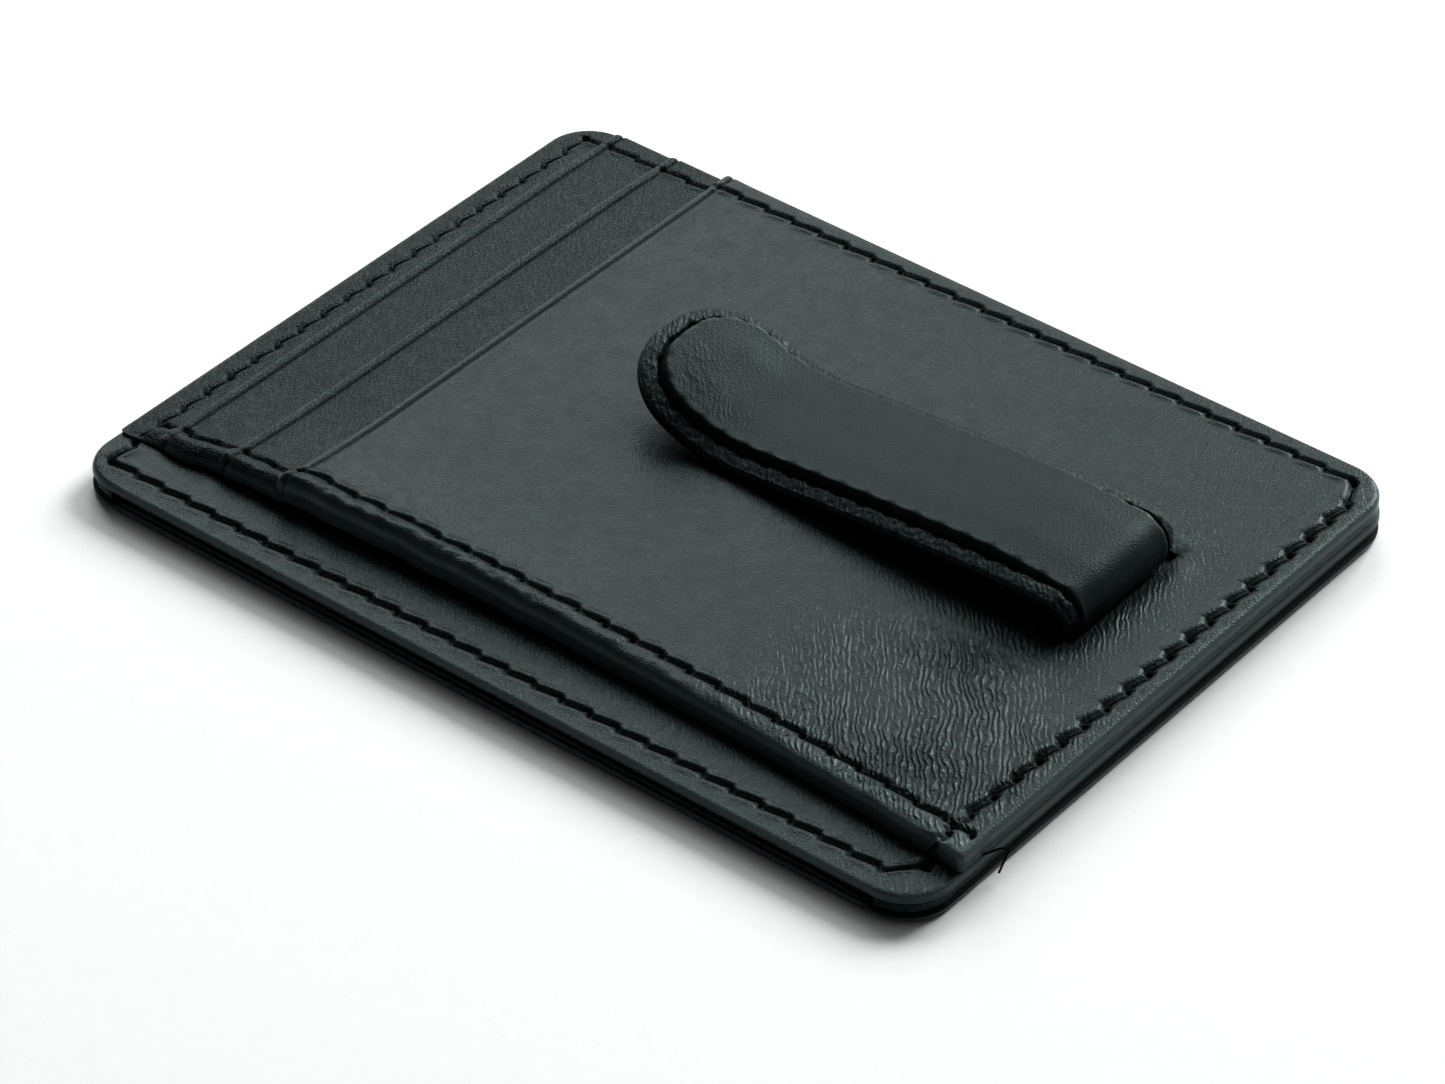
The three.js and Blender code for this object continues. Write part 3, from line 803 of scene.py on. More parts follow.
@dataclass(frozen=True)
class SeamRun:
    """One run of lockstitches. Each stitch slants a little across the run and sinks into the leather."""

    along: Along
    start: float
    end: float
    line: Callable[[Array], Array]
    inner: int = 1
    pitch: float = 3.3 * MM
    slant: float = 0.25 * MM
    sink: float = 0.34 * MM
    width: float = 0.25 * MM
    hole_depth: float = 0.6 * MM
    hole_width: float = 0.3 * MM
    scallop: float = 0.13 * MM
    lip: float = 0.08 * MM
    fade: float = 0.4 * MM
    pull: float = 0.13

    @property
    def count(self) -> int:
        """How many stitches the run has."""
        return max(1, round((self.end - self.start) / self.pitch))

    @property
    def stitch(self) -> float:
        """The length of one stitch."""
        return (self.end - self.start) / self.count

    def measure(self, x: Array, y: Array) -> tuple[Array, Array]:
        """Measures points against the run.

        Args:
            x: Places along X.
            y: Places along Y.

        Returns:
            The distance along the run and the distance to its side.
        """
        along, across = (x, y) if self.along is Along.X else (y, x)
        return along, across - self.line(along)

    def near(self, x: Array, y: Array, reach: float) -> Array:
        """Tells which points lie within a reach of the run."""
        along, aside = self.measure(x, y)
        return (np.abs(aside) < reach) & (along > self.start - reach) & (along < self.end + reach)

    def groove(self, x: Array, y: Array) -> Array:
        """How far the stitches pull the leather down, with the pucker beside them.

        Args:
            x: Places along X.
            y: Places along Y.

        Returns:
            The depth, which is a little below zero where the leather puckers up.
        """
        along, aside = self.measure(x, y)
        turns = (along - self.start) / self.stitch
        phase = np.mod(turns, 1.0)
        uneven = 0.8 + 0.2 * np.sin(5.3 * np.rint(turns))
        off = aside - self.slant * (phase - 0.5) * 2
        trough = self.sink * bell(off, self.width) * (0.6 + 0.4 * np.abs(2 * phase - 1))
        hole = uneven * self.hole_depth * self.holes(x, y)
        depth = np.maximum(trough, hole)
        bulge = np.sin(math.pi * phase) ** 0.7 * self.scallop
        spread = 1.5 * self.width
        inner = bulge * bell(off * self.inner, spread, 2.4 * self.width)
        outer = 0.5 * bulge * bell(off * self.inner, spread, -2.6 * self.width)
        swell = inner + outer + self.lip * self.lips(x, y)
        begun = smooth(along, self.start - self.fade, self.start)
        ended = smooth(along, self.end, self.end + self.fade)
        return (depth - swell) * begun * (1 - ended)

    def holes(self, x: Array, y: Array) -> Array:
        """How near each point is to a needle hole's middle, from 0 to 1."""
        along, aside = self.measure(x, y)
        turns = (along - self.start) / self.stitch
        from_hole = np.hypot((turns - np.rint(turns)) * self.stitch * 0.8, aside)
        inside = (along > self.start - self.hole_width) & (along < self.end + self.hole_width)
        return bell(from_hole, self.hole_width) * inside

    def lips(self, x: Array, y: Array) -> Array:
        """The small roll of leather that each hole throws up on the side towards the edge, from 0 to 1."""
        along, aside = self.measure(x, y)
        turns = (along - self.start) / self.stitch
        from_lip = np.hypot(
            (turns - np.rint(turns)) * self.stitch + 0.3 * self.hole_width,
            1.4 * (aside * self.inner + 1.15 * self.hole_width),
        )
        return bell(from_lip, 0.7 * self.hole_width)

    def stitches(self) -> list[tuple[float, float, float, float]]:
        """Lists each stitch's two ends as x and y pairs."""
        found = []
        for k in range(self.count):
            ends = []
            for share, side in ((self.pull, -1), (1 - self.pull, 1)):
                along = self.start + (k + share) * self.stitch
                across = float(self.line(np.array([along]))[0]) + side * self.slant * 0.9
                ends += [along, across] if self.along is Along.X else [across, along]
            found.append(tuple(ends))
        return found


def straight(place: float) -> Callable[[Array], Array]:
    """A seam line that keeps its distance."""
    return lambda along: np.full(np.shape(along), place)


@dataclass
class StitchMaker:
    """Copies one modelled stitch along seams."""

    finish: bpy.types.Material
    radius: float = 0.19 * MM
    pattern: bpy.types.Object = field(init=False)

    def __post_init__(self) -> None:
        """Models a stitch one unit long: an eight-sided cord that tapers and dives at its ends."""
        deselect()
        bpy.ops.mesh.primitive_cylinder_add(
            vertices=8, radius=1, depth=1, end_fill_type="NGON", rotation=(0, math.pi / 2, 0)
        )
        self.pattern = bpy.context.active_object
        self.pattern.name = "stitch_pattern"
        bpy.ops.object.transform_apply(location=True, rotation=True, scale=True)
        with editing(self.pattern):
            for place in (-0.4, -0.25, 0.0, 0.25, 0.4):
                bpy.ops.mesh.select_all(action="SELECT")
                bpy.ops.mesh.bisect(plane_co=(place, 0, 0), plane_no=(1, 0, 0))
        points = points_of(self.pattern)
        taper = np.sqrt(np.clip(1 - (2 * np.abs(points[:, 0])) ** 6 * 0.8, 0, 1))
        points[:, 1] *= taper
        points[:, 2] = points[:, 2] * taper - 1.6 * (2 * points[:, 0]) ** 4
        move_points(self.pattern, points)
        choose(self.pattern)
        bpy.ops.object.shade_smooth()

    def sew(self, name: str, ends: Sequence[tuple[Vector, Vector, Vector]]) -> bpy.types.Object:
        """Joins a copy of the stitch for each pair of holes.

        Args:
            name: The thread's name.
            ends: For each stitch its first hole, its second hole and the way out of the leather.

        Returns:
            The thread as one piece.
        """
        copies = []
        for first, second, out in ends:
            run = second - first
            side = out.cross(run).normalized()
            up = run.cross(side).normalized()
            columns = (run, side * self.radius, up * self.radius)
            turn = Matrix([[c[i] for c in columns] for i in range(3)]).to_4x4()
            copy = self.pattern.copy()
            copy.data = self.pattern.data.copy()
            copy.data.transform(Matrix.Translation((first + second) / 2) @ turn)
            bpy.context.collection.objects.link(copy)
            copies.append(copy)
        deselect()
        for copy in copies:
            copy.select_set(True)
        bpy.context.view_layer.objects.active = copies[0]
        bpy.ops.object.join()
        thread = bpy.context.active_object
        thread.name = thread.data.name = name
        thread.data.materials.clear()
        thread.data.materials.append(self.finish)
        return thread

    def clear(self) -> None:
        """Removes the pattern."""
        bpy.data.objects.remove(self.pattern)


def dress(piece: bpy.types.Object, finish: bpy.types.Material, slot: Slot, body: Body, *nodes: str) -> None:
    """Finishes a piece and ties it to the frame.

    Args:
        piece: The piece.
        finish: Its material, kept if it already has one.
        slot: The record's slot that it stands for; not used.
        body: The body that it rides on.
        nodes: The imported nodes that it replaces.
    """
    if not piece.data.materials:
        piece.data.materials.append(finish)
    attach(piece, body.value)
    if nodes:
        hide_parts(*nodes)
    log.info("%s: %d faces", piece.name, len(piece.data.polygons))


@dataclass
class Pattern:
    """The wallet's cutting pattern: what every layer shares."""

    half_length: float = 50 * MM
    half_width: float = 38 * MM
    corner: float = 5 * MM
    turned: float = 5 * MM
    fold_wall: float = 1 * MM
    stack_inset: float = 0.2 * MM
    hem_front: float = -31.5 * MM
    hem_bow: float = 2 * MM
    hem_seam: float = 2.9 * MM
    left_seam: float = -47.5 * MM
    right_seam: float = 47.75 * MM
    right_drift: float = 0.85 * MM
    corner_cut: float = 1.45 * MM
    back_seam: float = 35.4 * MM
    front_seam: float = -35.2 * MM
    hem_lift: float = 1.2 * MM
    lift_reach: float = 17 * MM
    hem_puff: float = 0.45 * MM
    seam_reach: float = 1.5 * MM
    seam_cut: float = 2.6 * MM
    hem_wave: float = 0.22 * MM
    hem_curl: float = 0.5 * MM
    curl_reach: float = 1.3 * MM
    crease_inset: float = 0.95 * MM
    crease_width: float = 0.17 * MM
    crease_depth: float = 0.2 * MM
    free_round: float = 0.6 * MM
    drift_reach: float = 30 * MM
    corner_turn: float = 3.3 * MM
    hem_begins: float = 0.6 * MM
    hem_ends: float = 1.2 * MM
    hem_fade: float = 0.4 * MM
    slack_from: float = -47 * MM
    slack_span: float = 84 * MM
    puff_left: float = -12 * MM
    puff_right: float = 10 * MM
    puff_end: float = 4.5 * MM
    fold_long: float = 2.2 * MM
    fold_short: float = 0.9 * MM

    def by_edge_seam(self, x: Array, y: Array) -> Array:
        """Tells which places lie by the seam round the three sewn sides."""
        return np.logical_or.reduce([run.near(x, y, self.seam_reach) for run in self.edge_runs()])

    def cover_outline(self, inset: float = 0.0) -> Outline:
        """The outline of a cover, drawn in by an inset."""
        x, y, r = self.half_length - inset, self.half_width - inset, self.corner - inset
        return Outline(-x, x, -y, y, r, r, r, r)

    def stack_outline(self, left: float) -> Outline:
        """The outline of a stacked leather from its free left edge to the sewn sides."""
        x, y = self.half_length - self.stack_inset, self.half_width - self.stack_inset
        r = self.corner - self.stack_inset
        left_round = r if left <= -x else self.free_round
        return Outline(
            max(left, -x), x, self.hem_front, y,
            self.free_round, self.free_round, r, left_round, self.hem_bow,
            self.half_length, wave=self.hem_wave,
        )

    def hem_at(self, x: Array) -> Array:
        """The stack's front edge."""
        return self.stack_outline(-self.half_length).front_at(x)

    def edge_runs(self) -> list[SeamRun]:
        """The seam round the three sewn sides."""
        right_start = self.front_seam + self.seam_cut
        corner = self.right_seam - self.corner_cut
        return [
            SeamRun(Along.Y, self.front_seam, self.back_seam, straight(self.left_seam)),
            SeamRun(Along.X, self.left_seam, corner, straight(self.back_seam), inner=-1),
            SeamRun(
                Along.Y, right_start, self.back_seam, self.right_line, inner=-1,
                sink=0.48 * MM, width=0.35 * MM, hole_depth=0.85 * MM, hole_width=0.44 * MM,
                slant=0.3 * MM, lip=0.09 * MM,
            ),
        ]

    def right_line(self, y: Array) -> Array:
        """The right seam, which drifts in towards the front and cuts the back corner."""
        drift = self.right_drift * smooth(-y, 0, self.drift_reach)
        cut = self.corner_cut * smooth(y, self.back_seam - self.corner_turn, self.back_seam)
        return self.right_seam - drift - cut

    def mouth_line(self, x: Array) -> Array:
        """The front seam, which turns the right corner on a slant."""
        turn = self.right_seam - self.right_drift
        return self.front_seam + np.clip(x - turn + self.seam_cut, 0, self.seam_cut)

    def mouth_run(self) -> SeamRun:
        """The seam along the front edge of a half."""
        return SeamRun(Along.X, self.left_seam, self.right_seam - self.right_drift, self.mouth_line)

    def hem_run(self) -> SeamRun:
        """The seam along the stack's bowed hem."""
        return SeamRun(
            Along.X, self.left_seam + self.hem_begins, self.half_length - self.hem_ends,
            lambda x: self.hem_at(x) + self.hem_seam,
            sink=0.38 * MM, width=0.28 * MM, hole_depth=0.7 * MM, hole_width=0.36 * MM,
        )

    def groove(self, x: Array, y: Array) -> Array:
        """How far all the seams pull the upper leathers down."""
        hem = self.hem_run()
        behind = smooth(y - self.hem_at(x), -self.hem_fade, 0)
        total = hem.groove(x, y) * behind + self.mouth_run().groove(x, y)
        return total + sum(run.groove(x, y) for run in self.edge_runs())

    def holes(self, x: Array, y: Array) -> Array:
        """How near each point is to a needle hole of the stack's seams, from 0 to 1."""
        hem = self.hem_run().holes(x, y) * (y > self.hem_at(x))
        return np.maximum.reduce([hem, *(run.holes(x, y) for run in self.edge_runs())])

    def lift(self, x: Array, y: Array) -> Array:
        """How far the stack's slack hem stands up from the base panel."""
        share = np.clip((x - self.slack_from) / self.slack_span, 0, 1)
        bulge = np.sin(math.pi * share**0.55) ** 1.3
        fall = np.clip(1 - (y - self.hem_at(x)) / self.lift_reach, 0, 1) ** 2
        return self.hem_lift * bulge * fall

    def puff(self, x: Array, y: Array) -> Array:
        """The soft roll of the hem between its edge and its seam."""
        inside = y - self.hem_at(x)
        left = 1 - 0.55 * smooth(x, self.puff_left, self.puff_right)
        ends = smooth(self.half_length - np.abs(x), self.hem_ends, self.puff_end)
        roll = self.hem_puff * np.sin(math.pi * np.clip(inside / self.hem_seam, 0, 1)) * left * ends
        curl = np.minimum(self.hem_curl, 0.8 * self.lift(x, y))
        curl = curl * np.clip(1 - inside / self.curl_reach, 0, 1) ** 2
        near = np.abs(inside - 0.5 * self.hem_seam) < 0.6 * self.hem_seam
        uneven = np.zeros(len(x))
        large = ruffle(x[near], 2 * y[near], self.fold_long, 6.0)
        small = ruffle(x[near], y[near], self.fold_short, 7.0)
        uneven[near] = 1.1 * large + 0.5 * small
        return roll * (1 + 0.5 * uneven) - curl

    def crease(self, inside: Array) -> Array:
        """The line that is pressed beside a pocket's mouth."""
        return self.crease_depth * bell(inside, self.crease_width, self.crease_inset)


@dataclass
class Half:
    """One half of the wallet: a cover turned over its lining on the three sewn sides."""

    pattern: Pattern
    finishes: Finishes
    cover_node: str
    lining_node: str
    upper: bool
    edge_round: float = 0.62 * MM
    mouth_round: float = 0.45 * MM
    leather: float = 0.8 * MM
    lining: float = 0.3 * MM
    facing: float = 0.26 * MM
    corner_gap: float = 0.42 * MM
    gap_from: float = 5 * MM
    gap_to: float = 18 * MM
    spacing: float = 0.75 * MM
    fold_spacing: float = 1.5 * MM
    fold_inset: float = 0.3 * MM
    fold_round: float = 0.15 * MM
    cut_round: float = 0.2 * MM
    least: float = 0.12 * MM
    calm_from: float = 0.3 * MM
    calm_to: float = 1.2 * MM
    rubbed: float = 0.6 * MM
    bright_line: float = 0.14 * MM
    line_width: float = 0.13 * MM
    fuzz: float = 0.02 * MM
    cloth_margin: float = 0.06 * MM
    cloth_inside: float = 0.05 * MM
    facing_from: float = 2 * MM
    facing_to: float = 8 * MM
    facing_width: float = 3 * MM
    cloth_spacing: tuple[float, float] = (1 * MM, 2 * MM)

    def _height(self, level: Array) -> Array:
        """Turns a level over the outer face into a height in the frame."""
        low, high = (corner.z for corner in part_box(self.cover_node))
        return high - level if self.upper else low + level

    def _settle(self, solid: GridSolid, outer: Array, inner: Array) -> bpy.types.Object:
        """Shapes a solid from the levels of its outer and inner faces over the outer face."""
        x, y = solid.x, solid.y
        if self.upper:
            return solid.shape(self._height(outer), self._height(inner), x, y)
        return solid.shape(self._height(inner), self._height(outer), x, y)

    def _seams(self, x: Array, y: Array) -> Array:
        """How far the seams sink into the outer face."""
        if self.upper:
            return self.pattern.groove(x, y)
        return self.pattern.mouth_run().groove(x, y) + sum(r.groove(x, y) for r in self.pattern.edge_runs())

    def _by_seams(self, x: Array, y: Array) -> Array:
        """Tells which places of the cover lie by a seam that shows."""
        p = self.pattern
        found = p.by_edge_seam(x, y) | p.mouth_run().near(x, y, p.seam_reach)
        return found & (y < p.hem_at(x) + p.seam_reach) if self.upper else found

    def _plate(self) -> bpy.types.Object:
        """The cover itself, with the fold's wall hanging from its three sewn sides."""
        p = self.pattern
        outline = p.cover_outline()
        wall = p.fold_wall
        left, right, front, back = outline.left, outline.right, outline.front, outline.back
        sides_x = [left + wall - STEP, left + wall, right - wall, right - wall + STEP]
        sides_x += [left + p.corner - STEP, left + p.corner, right - p.corner, right - p.corner + STEP]
        xs = crowded_lines(left, right, self.spacing, sides_x, [left, right])
        ys = crowded_lines(front, back, self.spacing, [back - wall, back - wall + STEP], [front, back])
        solid = GridSolid(self.cover_node + "_leather", xs, ys)
        solid.refine(self._by_seams, 3, self.upper)
        solid.x, solid.y = outline.warp(solid.x, solid.y)
        x, y = solid.x, solid.y
        low, high = (corner.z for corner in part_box(self.cover_node))
        side = outline.depth(x, y, with_front=False)
        front = y - outline.front
        edge = outline.depth(x, y)
        outer = np.where(side < front, round_over(edge, self.edge_round), round_over(edge, self.mouth_round))
        outer = outer + self._seams(x, y) * smooth(edge, self.calm_from, self.calm_to)
        if not self.upper:
            # The wallet lies on its back cover, so nothing swells out of that face.
            outer = np.maximum(outer, 0)
        in_wall = side < wall - STEP / 2
        parted = self.corner_gap * (1 - smooth(front, self.gap_from, self.gap_to))
        deep = (high - low) - round_over(np.maximum(side, 0), self.edge_round) - parted
        flat = self.leather - round_over(np.maximum(front, 0), self.cut_round)
        inner = np.where(in_wall, deep, flat)
        # Where a corner round reaches the front, the wall and the plate share one blunt edge.
        inner = np.maximum(inner, outer + self.least)
        piece = self._settle(solid, outer, inner)
        crinkle = (0.05 + 0.2 * bell(edge, RIM_SPREAD)) * smooth(edge, CALM, RIPPLED)
        set_attribute(piece, "crinkle", crinkle)
        # Inside the fold's wall the cover is painted dark as shade, and kept from the rim's lighter colour.
        within = (solid.is_top if not self.upper else ~solid.is_top) & (side < wall)
        set_attribute(piece, "pit", np.maximum(pitted(self._seams(x, y)), 0.75 * within))
        # The rims are painted lighter: a broad band that is partly wear and partly painted highlight, and a
        # thin painted highlight line along the rim.
        broad = 0.35 * bell(edge, self.rubbed)
        line = bell(edge, self.line_width, self.bright_line)
        set_attribute(piece, "worn", np.where(within, 0, np.maximum(broad, line)))
        return piece

    def _turned_edge(self) -> bpy.types.Object:
        """The strip of cover that is folded over the lining and glued down."""
        p = self.pattern
        outline = p.cover_outline(self.fold_inset)
        reach = p.turned - self.fold_inset
        left, right, back = outline.left + reach, outline.right - reach, outline.back - reach
        xs = crowded_lines(outline.left, outline.right, self.fold_spacing, [left, right], [left, right])
        ys = crowded_lines(outline.front, outline.back, self.fold_spacing, [back], [back])
        solid = GridSolid(
            self.cover_node + "_turned_edge", xs, ys, lambda x, y: (x > left) & (x < right) & (y < back)
        )
        solid.x, solid.y = outline.warp(solid.x, solid.y)
        side = outline.depth(solid.x, solid.y, with_front=False)
        low, high = (corner.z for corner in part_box(self.cover_node))
        inner = (high - low) - round_over(np.maximum(reach - side, 0), self.fold_round)
        outer = np.full(len(solid.x), self.leather + self.lining + STEP / 2)
        piece = self._settle(solid, outer, np.maximum(inner, outer + 5 * STEP))
        set_attribute(piece, "crinkle", np.full(len(solid.x), 0.4))
        set_attribute(piece, "worn", np.zeros(len(solid.x)))
        return piece

    def build(self) -> None:
        """Makes the cover and its lining."""
        plate, turned = self._plate(), self._turned_edge()
        choose(plate)
        turned.select_set(True)
        bpy.ops.object.join()
        dress(plate, self.finishes.cover, Slot.COVER, Body.WALLET, self.cover_node)
        self._cloth(plate)

    def _cloth(self, plate: bpy.types.Object) -> None:
        """Makes the lining, faced with leather where it shows at the mouth.

        Args:
            plate: The cover that the lining is glued to; not used.
        """
        p = self.pattern
        low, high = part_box(self.lining_node)
        margin = self.cloth_margin
        mouth = p.half_length - p.corner
        xs = crowded_lines(low.x, high.x, self.cloth_spacing[0], [-mouth - STEP, -mouth, mouth, mouth + STEP])
        ys = crowded_lines(low.y + margin, high.y, self.cloth_spacing[1], (), [low.y + margin])
        solid = GridSolid(self.lining_node + "_cloth", xs, ys)
        corner = p.corner - p.fold_wall
        outline = Outline(
            low.x, high.x, low.y + margin, high.y, 0, 0, corner, corner,
            clip_radius=corner - self.cloth_inside, clip_step=p.fold_wall + self.cloth_inside,
        )
        solid.x, solid.y = outline.warp(solid.x, solid.y)
        inside = solid.y - outline.front_at(solid.x)
        middle = 1 - smooth(np.abs(solid.x), mouth - corner, mouth)
        facing = self.facing * middle * (1 - smooth(inside, self.facing_from, self.facing_to))
        rounding = round_over(np.maximum(inside, 0), self.cut_round) * middle
        top, bottom = high.z - self.fuzz, low.z + self.fuzz
        if self.upper:
            cloth = solid.shape(top - 0.5 * rounding, bottom - facing + rounding, solid.x, solid.y)
        else:
            cloth = solid.shape(top + facing - rounding, bottom + 0.5 * rounding, solid.x, solid.y)
        # Leather faces the cloth's front, where it shows as the rim's second ply.
        cloth.data.materials.append(self.finishes.lining)
        cloth.data.materials.append(self.finishes.pocket)
        faced = outline.front + self.facing_width
        for face in cloth.data.polygons:
            face.material_index = int(face.center.y < faced)
        dress(cloth, self.finishes.lining, Slot.LINING, Body.WALLET, self.lining_node)


@dataclass
class PocketStack:
    """The leathers stacked on the upper half: backing, two card strips and the clip panel."""

    pattern: Pattern
    finishes: Finishes
    mouth_lift: float = 0.3 * MM
    mouth_reach: float = 4 * MM
    panel_round: float = 0.55 * MM
    sheet_round: float = 0.12 * MM
    slit_tuck: float = 0.2 * MM
    slit_width: float = 3.2 * MM
    slit_margin: float = 0.11 * MM
    slit_tight: float = 0.1 * MM
    sheet_spacing: float = 0.75 * MM
    panel_spacing: float = 0.6 * MM
    calm_from: float = 0.2 * MM
    calm_to: float = 0.8 * MM
    pinned_from: float = 1 * MM
    pinned_to: float = 9 * MM
    wave: float = 0.03 * MM
    wave_size: float = 2.5 * MM
    rubbed: float = 0.22 * MM
    board_ledge: float = 0.15 * MM
    board_step: float = 0.03 * MM
    board_cover: float = 0.14 * MM
    least: float = 0.12 * MM
    board_front: float = 5 * MM
    straight_from: float = 8 * MM
    straight_to: float = 2 * MM
    tuck_spread: float = 0.9 * MM
    pucker: float = 0.05 * MM
    pucker_size: float = 0.8 * MM
    pucker_spread: float = 2.6 * MM
    sag: float = 0.08 * MM
    sag_size: float = 9 * MM
    sag_from: float = 6 * MM
    # A painted glint on the panel's front right corner: its place along X and Y, and its spread.
    tab: tuple[float, float, float] = (48.2 * MM, -30 * MM, 1.6 * MM)
    fleck_line: float = 1.4 * MM
    fleck_width: float = 1.1 * MM
    rim_glow: float = 0.6 * MM
    rim_line: float = 0.16 * MM
    rim_width: float = 0.14 * MM
    slit_shade: float = 0.5 * MM
    slit_gather: float = 4 * MM
    turned_calm: float = 0.5 * MM
    turned_rippled: float = 1.5 * MM
    fleck_from: float = 15 * MM
    fleck_full: float = 35 * MM
    gather_from: float = 12 * MM
    gather_full: float = 30 * MM
    gather_back: float = -18 * MM
    hem_from: float = 10 * MM
    hem_full: float = 40 * MM
    # Gathered spots of the panel: place along X and Y, radius, and how strongly they ripple.
    gathers: tuple[tuple[float, float, float, float], ...] = (
        (33.5 * MM, -8.5 * MM, 4.5 * MM, 1.0),
        (38.5 * MM, -25.0 * MM, 5.0 * MM, 0.9),
        (38.0 * MM, -15.0 * MM, 3.0 * MM, 0.4),
    )

    def _sheet(self, node: str, shown: float) -> tuple[GridSolid, Outline, Array, Array]:
        """Lays out one thin leather.

        Args:
            node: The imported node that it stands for.
            shown: Where along X the next leather begins to cover it.

        Returns:
            The solid, its outline, and the offset and the edge depth of its vertices.
        """
        p = self.pattern
        low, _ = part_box(node)
        outline = p.stack_outline(low.x)
        fold = outline.left + p.crease_inset
        near_fold = [fold + side * p.crease_width * k for k in (0.5, 1.0, 1.8) for side in (-1, 1)]
        left, right, front, back = outline.left, outline.right, outline.front, outline.back
        xs = crowded_lines(left, right, self.sheet_spacing, [fold, *near_fold], [left, right])
        ys = crowded_lines(front, back, self.sheet_spacing, (), [front, back])
        solid = GridSolid(node + "_leather", xs, ys)
        solid.refine(lambda x, y: self._by_seams(x, y) & (x < shown + p.seam_reach), 3)
        solid.x, solid.y = outline.warp(solid.x, solid.y)
        x, y = solid.x, solid.y
        edge = outline.depth(x, y)
        offset = p.lift(x, y) + p.puff(x, y) - p.groove(x, y) * smooth(edge, self.calm_from, self.calm_to)
        if self._is_free(outline.left):
            rise = np.clip(1 - (x - outline.left) / self.mouth_reach, 0, 1) ** 2
            pinned = smooth(y, outline.front + self.pinned_from, outline.front + self.pinned_to)
            pinned *= 1 - smooth(y, outline.back - self.pinned_to, outline.back - self.pinned_from)
            offset = offset + self.mouth_lift * rise * pinned - p.crease(x - outline.left)
        return solid, outline, offset, edge

    def _by_seams(self, x: Array, y: Array) -> Array:
        """Tells which places lie by a seam, before the sheet's front is bowed."""
        p = self.pattern
        hem = np.abs(y - p.hem_front - p.hem_seam) < p.seam_reach + p.hem_bow * 0.1
        return hem | p.by_edge_seam(x, y)

    def _thin(self, node: str, shown: float) -> None:
        """Makes a backing or strip, shown as far as the next leather's edge."""
        solid, _, offset, edge = self._sheet(node, shown)
        low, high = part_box(node)
        drop = round_over(np.maximum(edge, 0), self.sheet_round)
        wave = self.wave * ruffle(solid.x, solid.y, self.wave_size, 3.1)
        top, bottom = high.z + offset - drop + wave / 2, low.z + offset + drop / 2
        piece = solid.shape(top, bottom, solid.x, solid.y)
        p = self.pattern
        calm = smooth(edge, CALM, RIPPLED)
        set_attribute(piece, "crinkle", (0.1 + 0.2 * bell(edge, RIM_SPREAD)) * calm)
        # The rims are painted lighter, partly as wear and partly as painted highlight; the crease beside a
        # free edge and the seams are painted dark as shade.
        set_attribute(piece, "worn", 0.8 * bell(edge, self.rubbed))
        line = p.crease(solid.x - self._free_edge(node)) / p.crease_depth
        set_attribute(piece, "pit", np.maximum(pitted(p.groove(solid.x, solid.y)), 0.7 * line))
        pierce(piece, self.finishes.pocket, self.finishes.hole, p.holes(solid.x, solid.y) * solid.is_top)
        dress(piece, self.finishes.pocket, Slot.POCKET, Body.WALLET, node)

    def _is_free(self, left: float) -> bool:
        """Tells whether a leather's left edge is free, and not sewn into the wallet's left side."""
        return left > -self.pattern.half_length + self.pinned_from

    def _free_edge(self, node: str) -> float:
        """Where a leather's free left edge lies, or far off if that edge is sewn."""
        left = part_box(node)[0].x
        return left if self._is_free(left) else -1.0

    def _slit(self) -> tuple[float, float, float, float]:
        """The slit's left, right, front and back, round the clip's foot."""
        low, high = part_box("clip_cover_foot")
        left, right = high.x - self.slit_width, high.x - self.slit_margin
        return left, right, low.y + self.slit_tight, high.y - self.slit_tight

    def _panel(self) -> None:
        """Makes the clip panel: leather over a board, with the slit tucked in round the clip's foot."""
        p = self.pattern
        node = "clip_panel"
        low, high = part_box(node)
        board_low, board_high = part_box("clip_board")
        outline = p.stack_outline(low.x)
        left, right, near, far = self._slit()
        ledge, step = self.board_ledge, self.board_step
        board_left, board_right = board_low.x - ledge, board_high.x + ledge
        board_back = board_high.y + ledge
        board_x = [board_left, board_left + step, board_right - step, board_right]
        board_y = [board_back - step, board_back]
        fold = outline.left + p.crease_inset
        near_fold = [fold + side * p.crease_width * k for k in (0, 0.5, 1.0, 1.8) for side in (-1, 1)]
        exact_x = [left, right, *board_x, *sorted(set(near_fold))]
        rims_x = [outline.left, outline.right, left, right]
        rims_y = [outline.front, outline.back, near, far]
        xs = crowded_lines(outline.left, outline.right, self.panel_spacing, exact_x, rims_x)
        ys = crowded_lines(outline.front, outline.back, self.panel_spacing, [near, far, *board_y], rims_y)
        solid = GridSolid(
            node + "_leather", xs, ys, lambda x, y: (x > left) & (x < right) & (y > near) & (y < far)
        )
        solid.refine(self._by_seams)
